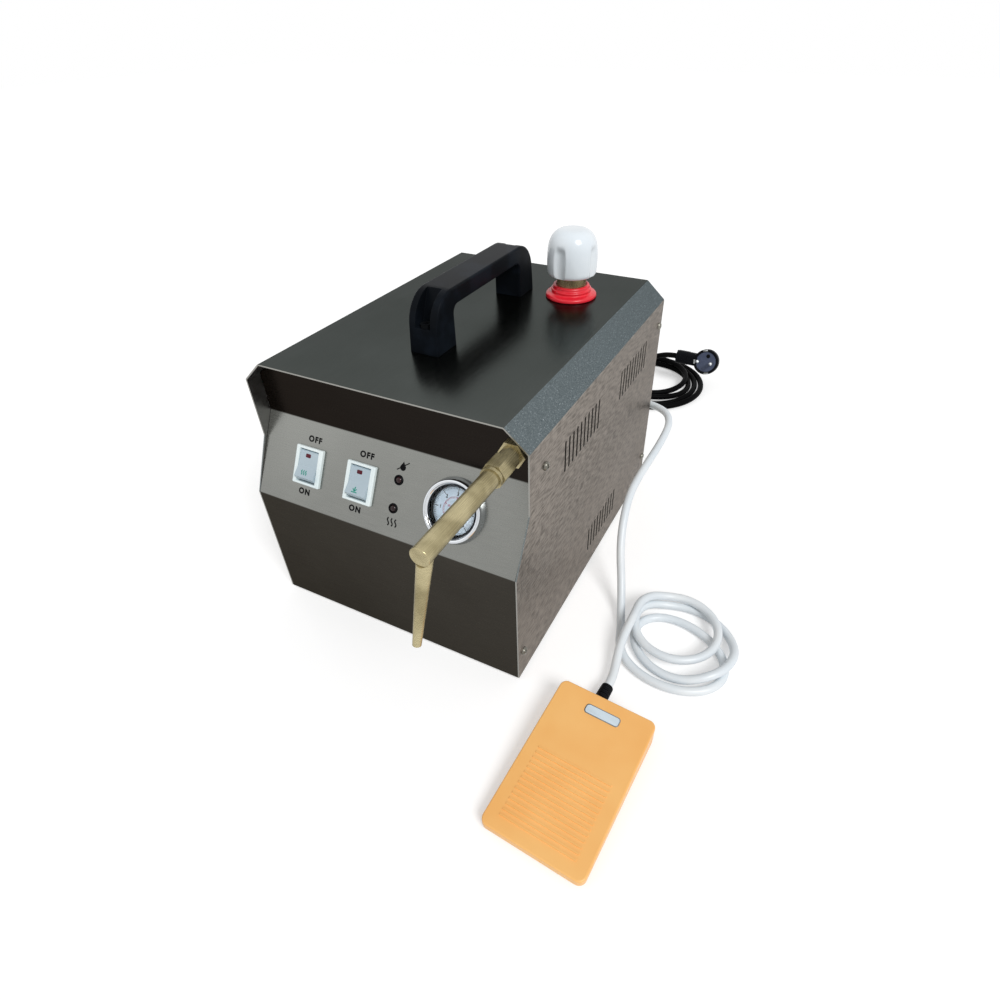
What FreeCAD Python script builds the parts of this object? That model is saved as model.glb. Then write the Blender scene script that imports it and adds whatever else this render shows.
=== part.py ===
import FreeCAD, Part

import math
import os
import re

import Sketcher
from FreeCAD import Placement, Rotation, Vector

# Jewelry steam cleaner: a bent sheet-metal casing with a slanted console, a pressure boiler,
# a swivelling steam nozzle, a screw filler cap, a bow handle, a foot switch and two cords.
#
# Millimetres. X runs to the right, Y to the rear, Z up. The origin lies on the floor under
# the middle of the casing.

SIZES = {
    # casing sheets
    "body_width": 260, "body_depth": 337.5, "body_height": 237, "metal": 1.2, "fit_gap": 0.3,
    "seat_play": 0.05,
    "chamfer_across": 19.5, "chamfer_drop": 17,
    "bend_radius": 1, "eave_setback": 23.5, "fascia_setback": 37.7,
    # how far the bends and openings near the top lie under the roof
    "console_drop": 117, "cheek_drop": 71, "fascia_drop": 51.5, "nozzle_drop": 26.5,
    "high_screw_drop": 42, "vent_high_drop": 56.5,
    "flange_depth": 20, "tray_lip": 15,
    # rubber feet
    "foot_height": 4, "foot_radius": 10, "foot_inset": 26, "foot_screw_radius": 2,
    # vent slots: two groups high on each side and one low
    "vent_width": 3, "vent_length": 29, "vent_pitch": 8, "vent_count": 10,
    "vent_front_y": 87, "vent_rear_y": 216, "vent_low_y": 156.5,
    "vent_low_rise": 36.5,
    # casing screws
    "screw_radius": 2, "screw_play": 0.15, "screw_head_radius": 3.7, "screw_head": 2.4,
    "screw_length": 9,
    "high_screw_y": 50, "low_screw_y": 10, "low_screw_rise": 27,
    "rear_screw_inset": 8, "rear_screw_rise": 32,
    # bow handle
    "handle_length": 175, "handle_height": 46, "handle_width": 27, "handle_leg": 29,
    "handle_grip": 14, "handle_lean": 5, "handle_bend": 26, "handle_inner_bend": 7,
    "handle_edge": 1.6, "handle_y": 182.4,
    "slot_width": 13.7, "slot_floor": 20, "slot_back": 13, "slot_reach": 26,
    "handle_screw_radius": 2.5, "handle_screw_head": 3.4, "handle_screw_inset": 7.5,
    "handle_nut_height": 4,
    # boiler: ratios place it in the height of the casing, and its ports along it
    "boiler_radius": 75, "boiler_length": 192, "boiler_wall": 2, "boiler_knuckle": 24,
    "boiler_x": 18, "boiler_rear_gap": 27.5, "boiler_level_ratio": 0.405,
    "saddle_width": 24, "saddle_half": 56, "saddle_inset": 40, "saddle_metal": 2,
    # heater
    "heater_flange_radius": 36, "heater_flange": 8, "heater_bolts": 6, "heater_bolt_ring": 28,
    "heater_bolt_radius": 3, "heater_mouth": 22, "heater_rod_radius": 4, "heater_rod_length": 150,
    "heater_rod_spread": 14, "heater_terminal": 14,
    # filler
    "filler_x": 56, "filler_rear_gap": 71.5, "filler_radius": 17, "filler_bore": 14.1,
    "filler_rim": 4, "filler_dip": 5,
    "gasket_radius": 24.4, "gasket_step_radius": 18.4, "gasket_height": 11.6, "gasket_lip": 4.5,
    "gasket_play": 0.5,
    "cap_radius": 23.6, "cap_height": 40.3, "cap_lift": 20.5, "cap_crown_radius": 14,
    "cap_shoulder": 17, "cap_flutes": 4, "cap_flute_radius": 7, "cap_flute_depth": 2.6,
    "cap_turn": 78, "cap_waist": 5, "cap_stem_play": 0.08, "cap_stem_depth": 24, "cap_seal": 2.5,
    # pressure gauge
    "gauge_across": 67.5, "gauge_up": 38.5, "gauge_radius": 26, "gauge_face": 21.5,
    "gauge_proud": 8, "gauge_rim": 2.6, "gauge_case_depth": 28, "gauge_stem": 14,
    "gauge_dial_sink": 5, "gauge_dial": 0.8, "gauge_lens": 1.2, "needle_length": 16,
    "needle_shaft": 1, "needle_rest": 135,
    # rocker switches
    "power_across": -77.8, "heat_across": -23.4, "switch_up": 36.5,
    "bezel_width": 28.5, "bezel_length": 33.4, "bezel_height": 3, "switch_width": 22.6,
    "switch_length": 30.8, "switch_depth": 24, "switch_wall": 1, "window_play": 0.2,
    "rocker_width": 20, "rocker_radius": 14, "rocker_pivot": 4, "rocker_mid": 2.6,
    "rocker_half_angle": 35.4, "rocker_tilt": 10, "rocker_floor": 5, "rocker_pin": 1.5,
    "pin_play": 0.05, "terminal_length": 8,
    # signal lamps
    "lamp_radius": 2.9, "lamp_dome": 1.6, "lamp_depth": 12, "lamp_sleeve": 4.2,
    "water_lamp_across": 12.6, "water_lamp_up": 48.4,
    "steam_lamp_across": 11.9, "steam_lamp_up": 24.5,
    # steam nozzle
    "nozzle_x": 112, "bulkhead_hex": 19, "bulkhead_hex_length": 7,
    "bulkhead_radius": 8, "bulkhead_length": 22, "bulkhead_shank": 6, "bulkhead_shank_length": 16,
    "union_hex": 17, "union_length": 12, "arm_radius": 7, "arm_length": 88,
    "arm_collar": 8.2, "arm_collar_length": 3, "arm_spigot": 4, "arm_spigot_length": 9,
    "steam_bore": 2.5, "tip_inset": 7, "tip_lean": 20, "tip_length": 65.5,
    "union_grip": 3, "arm_neck": 6.4, "tip_root_radius": 5.4, "tip_end_radius": 2.9, "tip_bore": 0.9, "tip_thread": 3.5,
    # solenoid valve and steam line
    "valve_width": 26, "valve_length": 30, "valve_height": 22, "coil_radius": 14,
    "coil_length": 34, "steam_pipe_radius": 4, "steam_port_ratio": 0.156,
    # fittings on the boiler
    "port_radius": 6, "port_hex": 17, "probe_ratio": 0.505, "probe_depth": 45,
    "safety_ratio": 0.323, "switch_port_x": -22,
    # electrical box
    "relay_width": 36, "relay_length": 70, "relay_height": 62, "relay_x": -94, "relay_y": 170,
    "terminal_count": 6, "terminal_pitch": 11, "terminal_height": 20, "terminal_width": 24,
    # cord glands, cords and the plug
    "cord_radius": 4, "gland_hex": 18, "gland_length": 15, "gland_thread": 6.2,
    "mains_gland_x": -50, "mains_gland_z": 50, "pedal_gland_x": 8, "pedal_gland_z": 64,
    "mains_coil_x": 62, "mains_coil_y": 410, "mains_coil_radius": 85, "mains_coil_hollow": 54,
    "mains_coil_height": 24,
    "pedal_coil_x": 244, "pedal_coil_y": -73, "pedal_coil_radius": 58, "pedal_coil_hollow": 33,
    "pedal_coil_height": 25,
    "plug_radius": 18.2, "plug_depth": 20, "plug_x": 142, "plug_y": 424, "plug_z": 46,
    "plug_tilt": 20, "plug_arm_radius": 10.5, "plug_arm_length": 26, "plug_nose": 20,
    "plug_pin_radius": 2.4, "plug_pin_length": 19, "plug_pin_spread": 9.5,
    # foot switch
    "pedal_x": 211.8, "pedal_y": -169, "pedal_turn": -4.4, "pedal_width": 83,
    "pedal_length": 128, "pedal_rear_height": 26, "pedal_front_height": 12, "pedal_wall": 2.2,
    "pedal_skirt": 6, "pedal_gap": 0.6, "pedal_base_rear": 16, "pedal_base_front": 8,
    "pedal_base_wall": 2, "pedal_floor": 1.7, "pedal_corner": 6, "pedal_edge": 1.4,
    "pedal_hinge_inset": 9, "pedal_hinge_rise": 6.5, "pedal_pin_radius": 1.5, "pedal_ear": 3,
    "pedal_ear_width": 4, "pedal_travel": 2.2, "pedal_rib_count": 14, "pedal_rib_pitch": 4.3, "pedal_rib_start": 60,
    "pedal_rib_width": 1.6, "pedal_rib_height": 0.7, "pedal_rib_margin": 11,
    "relief_across": -10, "relief_rise": 9, "relief_radius": 5.8, "relief_length": 30,
    "relief_groove": 0.8,
    "pedal_pad_radius": 6, "pedal_pad": 1.5, "pedal_pad_inset": 14,
    "spring_radius": 6, "spring_wire": 0.8, "spring_turns": 5, "spring_x": 14, "spring_y": 38,
    "micro_length": 20, "micro_width": 6.4, "micro_height": 9, "micro_y": 62,
}

FORMULAS = {
    # casing planes
    "half_width": "body_width / 2",
    "front_y": "-body_depth / 2",
    "rear_y": "body_depth / 2",
    "eave_y": "front_y + eave_setback",
    "fascia_y": "front_y + fascia_setback",
    "top_z": "foot_height + body_height",
    "console_z": "top_z - console_drop",
    "cheek_z": "top_z - cheek_drop",
    "fascia_z": "top_z - fascia_drop",
    "floor_z": "foot_height + metal",
    # the console leans back by this angle from the vertical
    "slant": "atan(fascia_setback / (console_drop - fascia_drop))",
    "bend_drop": "metal * tan(slant / 2)",
    # the roof chamfer leans in by this angle from the vertical
    "pitch": "atan(chamfer_across / chamfer_drop)",
    # outline of what fits inside the cover, with its sliding gap
    "rim_half": "half_width - metal - fit_gap",
    "rim_top": "top_z - metal - fit_gap",
    "rim_shoulder": "top_z - chamfer_drop - (metal + fit_gap) * tan(pitch / 2)",
    "rim_crown": "half_width - chamfer_across - (metal + fit_gap) * tan((90 deg - pitch) / 2)",
    "screw_hole": "screw_radius + screw_play",
    "handle_mid": "front_y + handle_y",
    "handle_screw_y": "handle_length / 2 - handle_screw_inset",
    "boiler_z": "foot_height + body_height * boiler_level_ratio",
    "boiler_front": "rear_y - boiler_rear_gap - boiler_length",
    "boiler_top": "boiler_z + boiler_radius",
    "nozzle_z": "top_z - nozzle_drop",
    "steam_line_y": "boiler_front + boiler_length * steam_port_ratio",
    "safety_y": "boiler_front + boiler_length * safety_ratio",
    "probe_y": "boiler_front + boiler_length * probe_ratio",
    "cap_floor": "top_z + cap_lift",
    "valve_y": "fascia_y + metal + bulkhead_shank_length",
    "arm_start": "bulkhead_length + union_length",
    "tip_along": "arm_start + arm_length - tip_inset",
    "filler_spot_y": "rear_y - filler_rear_gap",
    "filler_foot": "boiler_z + sqrt(boiler_radius^2 - (filler_x + filler_radius - boiler_x)^2) - filler_dip",
    "gauge_body": "gauge_radius - 1.4",
    "lens_z": "gauge_proud - gauge_rim - gauge_lens",
    "dial_z": "gauge_proud - gauge_rim - gauge_lens - gauge_dial_sink",
    "rocker_high": "(rocker_half_angle - rocker_tilt) * 1 deg",
    "rocker_low": "(rocker_half_angle + rocker_tilt) * 1 deg",
    # foot switch, in its own frame: its rear edge at y = 0 and its toe at y = -pedal_length
    "pedal_half": "pedal_width / 2",
    "pedal_grade": "(pedal_rear_height - pedal_front_height) / pedal_length",
    "base_half": "pedal_half - pedal_wall - pedal_gap",
    "base_rear": "-pedal_wall - pedal_gap",
    "base_front": "pedal_wall + pedal_gap - pedal_length",
    "base_floor": "pedal_pad + pedal_floor",
    "hinge_y": "pedal_hinge_inset - pedal_length",
    "pedal_drop": "(pedal_length - pedal_hinge_inset) * sin(pedal_travel * 1 deg)",
}

doc = FreeCAD.newDocument("jewelry_steam_cleaner")
sheet = doc.addObject("Spreadsheet::Sheet", "Size")
for row, (alias, size) in enumerate(SIZES.items(), start=1):
    sheet.set(f"A{row}", alias)
    sheet.set(f"B{row}", str(size))
    sheet.setAlias(f"B{row}", alias)
doc.recompute()

parts = []
X_AXIS, Y_AXIS, Z_AXIS = Vector(1, 0, 0), Vector(0, 1, 0), Vector(0, 0, 1)
FACING = {
    "up": Rotation(),
    "right": Rotation(Y_AXIS, 90),
    "left": Rotation(Y_AXIS, -90),
    "rear": Rotation(X_AXIS, -90),
    "front": Rotation(X_AXIS, 90),
    "down": Rotation(X_AXIS, 180),
}
# each drawing plane: where its own normal points once the sketch lies in it
PLANES = {
    "xy": (Rotation(), Z_AXIS),
    "xz": (Rotation(X_AXIS, 90), Y_AXIS),
    "yz": (Rotation(1 / 2, 1 / 2, 1 / 2, 1 / 2), X_AXIS),
}


def cell(text):
    """A formula of this file, written out in the names of the sheet's cells."""
    def expand(match):
        word = match.group()
        if word in FORMULAS:
            return "(" + cell(FORMULAS[word]) + ")"
        return "Size." + word if word in SIZES else word
    return re.sub(r"[a-z_]+", expand, str(text))


def value(text):
    """The number that a formula gives for the sizes in the sheet."""
    answer = sheet.evalExpression(cell(text))
    return float(getattr(answer, "Value", answer))


def point(x, y, z):
    return Vector(value(x), value(y), value(z))


def bind(thing, **formulas):
    for name, text in formulas.items():
        thing.setExpression(name, cell(text))
    return thing


def place(thing, x=0, y=0, z=0, facing="up"):
    """Put a piece at a point, with its own Z axis facing one of the six ways."""
    thing.Placement = Placement(Vector(), FACING[facing])
    for axis, text in zip("xyz", (x, y, z)):
        thing.setExpression("Placement.Base." + axis, cell(text))
    return thing


def on_console(thing, across, up):
    """Put a piece on the console: its own Y runs up the slope and its Z points outward."""
    thing.Placement = Placement(Vector(), Rotation(X_AXIS, 60))
    thing.setExpression("Placement.Base.x", cell(across))
    thing.setExpression("Placement.Base.y", cell(f"front_y + ({up}) * sin(slant)"))
    thing.setExpression("Placement.Base.z", cell(f"console_z + ({up}) * cos(slant)"))
    thing.setExpression("Placement.Rotation.Angle", cell("90 deg - slant"))
    return thing


def part(label, thing):
    """Name a finished piece; it is written to a file of this name."""
    thing.Label = label
    parts.append(thing)
    return thing


def block(x0, x1, y0, y1, z0, z1):
    box = doc.addObject("Part::Box", "block")
    bind(box, Length=f"({x1}) - ({x0})", Width=f"({y1}) - ({y0})", Height=f"({z1}) - ({z0})")
    return place(box, x0, y0, z0)


def rod(radius, length, x=0, y=0, z=0, facing="up"):
    cylinder = doc.addObject("Part::Cylinder", "rod")
    bind(cylinder, Radius=radius, Height=length)
    return place(cylinder, x, y, z, facing)


def taper(radius, end_radius, length, x=0, y=0, z=0, facing="up"):
    cone = doc.addObject("Part::Cone", "taper")
    bind(cone, Radius1=radius, Radius2=end_radius, Height=length)
    return place(cone, x, y, z, facing)


def hexagon(across_flats, height, x=0, y=0, z=0, facing="up"):
    prism_ = doc.addObject("Part::Prism", "hexagon")
    prism_.Polygon = 6
    bind(prism_, Circumradius=f"({across_flats}) / sqrt(3)", Height=height)
    return place(prism_, x, y, z, facing)


def ball(radius, x=0, y=0, z=0):
    sphere = doc.addObject("Part::Sphere", "ball")
    bind(sphere, Radius=radius)
    return place(sphere, x, y, z)


def fuse(*things):
    joined = doc.addObject("Part::MultiFuse", "fuse")
    joined.Shapes = list(things)
    return joined


def cut(base, *tools):
    result = doc.addObject("Part::Cut", "cut")
    result.Base = base
    result.Tool = tools[0] if len(tools) == 1 else fuse(*tools)
    return result


def common(*things):
    result = doc.addObject("Part::MultiCommon", "common")
    result.Shapes = list(things)
    return result


def draw_polygon(sketch, corners):
    """A closed outline whose corners are pairs of formulas."""
    first = sketch.GeometryCount
    places = [Vector(value(across), value(up), 0) for across, up in corners]
    for start, end in zip(places, places[1:] + places[:1]):
        sketch.addGeometry(Part.LineSegment(start, end), False)
    for index, (across, up) in enumerate(corners):
        line = first + index
        after = first + (index + 1) % len(corners)
        sketch.addConstraint(Sketcher.Constraint("Coincident", line, 2, after, 1))
        fix_point(sketch, line, 1, across, up)


def draw_circle(sketch, across, up, radius):
    centre = Vector(value(across), value(up), 0)
    line = sketch.addGeometry(Part.Circle(centre, Z_AXIS, value(radius)), False)
    hold(sketch, Sketcher.Constraint("Radius", line, value(radius)), radius)
    fix_point(sketch, line, 3, across, up)


def draw_slot(sketch, across, up, width, length):
    """An upright slot with round ends, given by its middle."""
    radius = value(width) / 2
    reach = value(length) / 2 - radius
    middle = Vector(value(across), value(up), 0)
    rise, side = Vector(0, reach, 0), Vector(radius, 0, 0)
    top = Part.Circle(middle + rise, Z_AXIS, radius)
    bottom = Part.Circle(middle - rise, Z_AXIS, radius)
    half_turn = math.pi
    left, upper, right, lower = (
        sketch.addGeometry(shape, False) for shape in (
            Part.LineSegment(middle - rise - side, middle + rise - side),
            Part.ArcOfCircle(top, 0, half_turn),
            Part.LineSegment(middle + rise + side, middle - rise + side),
            Part.ArcOfCircle(bottom, half_turn, 2 * half_turn),
        ))
    for pair in ((left, 2, upper, 2), (right, 1, upper, 1), (right, 2, lower, 2), (left, 1, lower, 1)):
        sketch.addConstraint(Sketcher.Constraint("Tangent", *pair))
    hold(sketch, Sketcher.Constraint("Radius", upper, radius), f"({width}) / 2")
    reach_text = f"(({length}) - ({width})) / 2"
    fix_point(sketch, upper, 3, across, f"({up}) + {reach_text}")
    fix_point(sketch, lower, 3, across, f"({up}) - {reach_text}")


def hold(sketch, constraint, text):
    index = sketch.addConstraint(constraint)
    sketch.setExpression(f"Constraints[{index}]", cell(text))


def fix_point(sketch, line, which, across, up):
    hold(sketch, Sketcher.Constraint("DistanceX", -1, 1, line, which, value(across)), across)
    hold(sketch, Sketcher.Constraint("DistanceY", -1, 1, line, which, value(up)), up)


def prism(plane, corners, start, stop):
    """A straight extrusion of one outline, from start to stop along the plane's normal."""
    sketch = doc.addObject("Sketcher::SketchObject", "outline")
    turn, normal = PLANES[plane]
    sketch.Placement = Placement(Vector(), turn)
    draw_polygon(sketch, corners)
    solid = doc.addObject("Part::Extrusion", "prism")
    solid.Base = sketch
    solid.DirMode = "Custom"
    solid.Dir = normal
    solid.Solid = True
    return bind(solid, LengthFwd=stop, LengthRev=f"-({start})")


def turned(corners):
    """A solid of revolution about Z: the corners are radius and height."""
    sketch = doc.addObject("Sketcher::SketchObject", "profile")
    sketch.Placement = Placement(Vector(), PLANES["xz"][0])
    draw_polygon(sketch, corners)
    solid = doc.addObject("Part::Revolution", "turned")
    solid.Source = sketch
    solid.Axis = Z_AXIS
    solid.Solid = True
    return solid


def rounded(base, radius, chosen):
    """Fillets on the edges that a test picks."""
    doc.recompute()
    size = value(radius)
    fillet = doc.addObject("Part::Fillet", "rounded")
    fillet.Base = base
    fillet.Edges = [(number, size, size) for number, edge in enumerate(base.Shape.Edges, start=1)
                    if chosen(edge)]
    return fillet


def along(axis, *tests):
    """A test for straight edges that run along one axis."""
    def chosen(edge):
        if not isinstance(edge.Curve, Part.Line):
            return False
        tangent = edge.tangentAt(edge.FirstParameter)
        return abs(abs(tangent.dot(axis)) - 1) < 1e-6 and all(test(edge.CenterOfMass) for test in tests)
    return chosen


def bodied(name):
    body = doc.addObject("PartDesign::Body", name)
    body.Label = name
    return body


def origin(body, role):
    return next(item for item in body.Origin.OriginFeatures if item.Role == role)


def sketched(body, role):
    sketch = body.newObject("Sketcher::SketchObject", body.Name + "_sketch")
    sketch.AttachmentSupport = (origin(body, role), [""])
    sketch.MapMode = "FlatFace"
    return sketch


def padded(body, sketch, length):
    pad = body.newObject("PartDesign::Pad", body.Name + "_pad")
    pad.Profile = sketch
    pad.SideType = "Symmetric"
    bind(pad, Length=length)
    doc.recompute()
    return pad


def pocketed(body, sketch, length=None):
    """A pocket both ways from its sketch: right through, or to a given total width."""
    before = body.Shape.Volume
    pocket = body.newObject("PartDesign::Pocket", body.Name + "_pocket")
    pocket.Profile = sketch
    pocket.SideType = "Symmetric"
    if length is None:
        pocket.Type = "ThroughAll"
    else:
        bind(pocket, Length=length)
    doc.recompute()
    if body.Shape.Volume >= before:
        raise RuntimeError(f"{body.Name}: a pocket cuts nothing")
    return pocket


def filleted(body, base, radius, chosen):
    fillet = body.newObject("PartDesign::Fillet", body.Name + "_fillet")
    names = [f"Edge{number}" for number, edge in enumerate(base.Shape.Edges, start=1) if chosen(edge)]
    fillet.Base = (base, names)
    bind(fillet, Radius=radius)
    doc.recompute()
    return fillet


def tube_path(points):
    """Straight runs joined by tangent arcs, as large as the shorter run beside each turn allows."""
    edges, radii = [], []
    start = points[0]
    for before, corner, after in zip(points, points[1:], points[2:]):
        arriving, leaving = corner - before, after - corner
        run = min(arriving.Length, leaving.Length)
        half_turn = arriving.getAngle(leaving) / 2
        radius = 0.45 * run / math.tan(half_turn)
        arriving.normalize()
        leaving.normalize()
        reach = 0.45 * run
        first, last = corner - arriving * reach, corner + leaving * reach
        inward = (leaving - arriving).normalize()
        middle = corner + inward * (radius / math.cos(half_turn) - radius)
        edges.append(Part.LineSegment(start, first).toShape())
        edges.append(Part.Arc(first, middle, last).toShape())
        radii.append(radius)
        start = last
    edges.append(Part.LineSegment(start, points[-1]).toShape())
    return Part.Wire(edges), radii


def tube_solid(points, radius):
    """A round tube along a path; its volume is checked against section times length."""
    path, radii = tube_path(points)
    direction = points[1] - points[0]
    section = Part.Wire(Part.Circle(points[0], direction, radius).toShape())
    solid = path.makePipeShell([section], True, False)
    expected = math.pi * radius ** 2 * path.Length
    if abs(solid.Volume - expected) > 0.01 * expected:
        raise RuntimeError(f"a tube holds {solid.Volume:.0f} mm3, not {expected:.0f}")
    return solid, path.Length, radii


def tube(label, routes, radius, report=False):
    """One node of one or more tubes, each along its own list of points."""
    solids = []
    for number, route in enumerate(routes, start=1):
        solid, length, radii = tube_solid(route, value(radius))
        solids.append(solid)
        if report:
            print(f"{label} run {number}: {length:.0f} mm, radii {[round(r) for r in radii]}")
    feature = doc.addObject("Part::Feature", label)
    feature.Shape = solids[0] if len(solids) == 1 else Part.makeCompound(solids)
    return part(label, feature)


def group(things):
    """Separate solids kept side by side in one object."""
    compound = doc.addObject("Part::Compound", "group")
    compound.Links = things
    return compound


def mirrored(corners):
    """The same corners on the other side of the middle, in reverse order."""
    return [(f"-({across})", up) for across, up in reversed(corners)]


def other_side(corners):
    return [(f"-({across})", up) for across, up in corners]


# ---------------------------------------------------------------- casing

def make_cover():
    """Sides, chamfers and roof are one bent sheet; its front edge stands out as an eave."""
    body = bodied("cover")
    outside = [("half_width", "foot_height"), ("half_width", "top_z - chamfer_drop"),
               ("half_width - chamfer_across", "top_z")]
    inside = [("half_width - metal", "foot_height"),
              ("half_width - metal", "top_z - chamfer_drop - metal * tan(pitch / 2)"),
              ("half_width - chamfer_across - metal * tan((90 deg - pitch) / 2)", "top_z - metal")]
    section = sketched(body, "XZ_Plane")
    draw_polygon(section, outside + mirrored(outside) + other_side(inside) + inside[::-1])
    sheet_metal = padded(body, section, "body_depth")
    skin = value("metal") + 1e-3
    def on_skin(bend):
        return abs(abs(bend.x) - value("half_width")) < 1e-6 or abs(bend.z - value("top_z")) < 1e-6
    def is_bend(bend):
        return bend.z > value("foot_height") + skin and abs(bend.y) < 1e-6
    sheet_metal = filleted(body, sheet_metal, "bend_radius + metal", along(Y_AXIS, is_bend, on_skin))
    filleted(body, sheet_metal, "bend_radius", along(Y_AXIS, is_bend, lambda bend: not on_skin(bend)))
    front = sketched(body, "YZ_Plane")
    draw_polygon(front, [
        ("front_y - 5", "console_z"), ("front_y", "console_z"), ("eave_y", "cheek_z"),
        ("eave_y", "top_z + 5"), ("front_y - 5", "top_z + 5")])
    pocketed(body, front)
    screws = sketched(body, "YZ_Plane")
    for along_y, up in casing_screws():
        draw_circle(screws, along_y, up, "screw_hole")
    pocketed(body, screws)
    top = sketched(body, "XY_Plane")
    draw_circle(top, "filler_x", "filler_spot_y", "filler_radius + seat_play")
    for side in "-+":
        draw_circle(top, "0", f"handle_mid {side} handle_screw_y", "handle_screw_radius + screw_play")
    pocketed(body, top)
    vents = sketched(body, "YZ_Plane")
    for along_y, up in (("vent_front_y", "top_z - vent_high_drop"), ("vent_rear_y", "top_z - vent_high_drop"),
                        ("vent_low_y", "foot_height + vent_low_rise")):
        draw_slot(vents, f"front_y + {along_y}", up, "vent_width", "vent_length")
    first = pocketed(body, vents)
    rows = body.newObject("PartDesign::LinearPattern", "vent_rows")
    rows.Originals = [first]
    rows.Direction = (origin(body, "Y_Axis"), [""])
    bind(rows, Length="vent_pitch * (vent_count - 1)", Occurrences="vent_count")
    body.Tip = rows
    part("cover", body)


def casing_screws():
    """Side screws as pairs of Y and Z: two near the front edge and two near the rear."""
    return [("front_y + high_screw_y", "top_z - high_screw_drop"),
            ("front_y + low_screw_y", "foot_height + low_screw_rise"),
            ("rear_y - rear_screw_inset", "top_z - high_screw_drop"),
            ("rear_y - rear_screw_inset", "foot_height + rear_screw_rise")]


def screw_holes(rows):
    """Rods right through the casing from side to side."""
    return [rod("screw_hole", "body_width + 20", "-half_width - 10", y, z, "right") for y, z in rows]


def rim_corner_cut():
    """What the roof chamfers take from the upper corners of a panel that fits inside the cover."""
    corner = [("rim_half", "rim_shoulder"), ("rim_crown", "rim_top"), ("rim_crown", "rim_top + 9"),
              ("half_width + 9", "rim_top + 9"), ("half_width + 9", "rim_shoulder")]
    return [prism("xz", side, "front_y - 9", "rear_y + 9") for side in (corner, other_side(corner))]


def console_windows():
    """What the switches, lamps and gauge need cut out of the console."""
    windows = []
    for across in ("power_across", "heat_across"):
        window = block("-switch_width / 2 - window_play", "switch_width / 2 + window_play",
                       "-switch_length / 2 - window_play", "switch_length / 2 + window_play",
                       "-metal * 3", "metal * 2")
        windows.append(on_console(group([window]), across, "switch_up"))
    for across, up, radius in (("water_lamp_across", "water_lamp_up", "lamp_radius"),
                               ("steam_lamp_across", "steam_lamp_up", "lamp_radius"),
                               ("gauge_across", "gauge_up", "gauge_body")):
        hole = rod(f"{radius} + window_play", "metal * 5", 0, 0, "-metal * 3")
        windows.append(on_console(group([hole]), across, up))
    return windows


def make_front_panel():
    """Fascia, slanted console and lower front are one bent sheet with a flange down each side."""
    outer = [("front_y", "foot_height"), ("front_y", "console_z"), ("fascia_y", "fascia_z"),
             ("fascia_y", "rim_top")]
    inner = [("fascia_y + metal", "rim_top"), ("fascia_y + metal", "fascia_z - bend_drop"),
             ("front_y + metal", "console_z - bend_drop"), ("front_y + metal", "foot_height")]
    edge = [(f"{along_y} + flange_depth", up) for along_y, up in reversed(inner)]
    blank = prism("yz", outer + edge[::-1], "-rim_half", "rim_half")
    longer = {"rim_top": "rim_top + 1", "foot_height": "foot_height - 1"}
    hollow = prism("yz", [(along_y, longer.get(up, up)) for along_y, up in inner + edge],
                   "-rim_half + metal", "rim_half - metal")
    def at(row):
        y, z = (value(text) for text in row)
        return along(X_AXIS, lambda bend: abs(bend.y - y) < 1e-6 and abs(bend.z - z) < 1e-6)
    blank = rounded(rounded(blank, "bend_radius + metal", at(outer[1])), "bend_radius", at(outer[2]))
    hollow = rounded(rounded(hollow, "bend_radius + metal", at(inner[1])), "bend_radius", at(inner[2]))
    bulkhead = rod("bulkhead_shank + screw_play", "metal * 3", "nozzle_x", "fascia_y - metal",
                   "nozzle_z", "rear")
    part("front_panel", cut(blank, hollow, *rim_corner_cut(), *console_windows(), bulkhead,
                            *screw_holes(casing_screws()[:2])))


def rim_outline(inset):
    """Half outline of a panel inside the cover, drawn in by an inset."""
    return [(f"rim_half - {inset}", "foot_height"),
            (f"rim_half - {inset}", f"rim_shoulder - {inset} * tan(pitch / 2)"),
            (f"rim_crown - {inset} * tan((90 deg - pitch) / 2)", f"rim_top - {inset}")]


def make_rear_panel():
    """The rear closes the casing as a shallow pan, its flanges turned forward."""
    outline, inner = rim_outline("0"), rim_outline("metal")
    inner = [(inner[0][0], "foot_height - 1"), *inner[1:]]
    pan = prism("xz", outline + mirrored(outline), "rear_y - metal - flange_depth", "rear_y")
    hollow = prism("xz", inner + mirrored(inner), "rear_y - metal - flange_depth - 1", "rear_y - metal")
    glands = [rod("gland_thread + screw_play", "metal * 3", x, "rear_y - metal * 2", z, "rear")
              for x, z in (("mains_gland_x", "mains_gland_z"), ("pedal_gland_x", "pedal_gland_z"))]
    part("rear_panel", cut(pan, hollow, *glands, *screw_holes(casing_screws()[2:])))


def make_base_tray():
    """A shallow tray between the flanges of the front and rear panels."""
    side, rear = "(rim_half - metal - fit_gap)", "(rear_y - metal)"
    tray = block(f"-{side}", side, "front_y + metal", rear, "foot_height", "foot_height + tray_lip")
    hollow = block(f"-{side} + metal", f"{side} - metal", "front_y + 2 * metal", f"{rear} - metal",
                   "floor_z", "foot_height + tray_lip + 1")
    holes = [rod("foot_screw_radius + screw_play", "metal * 3", x, y, "foot_height - metal")
             for x, y in foot_places()]
    part("base_tray", cut(tray, hollow, *holes))


def foot_places():
    return [(f"{side} (half_width - foot_inset)", f"{end} (body_depth / 2 - foot_inset)")
            for side in "-+" for end in "-+"]


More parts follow.
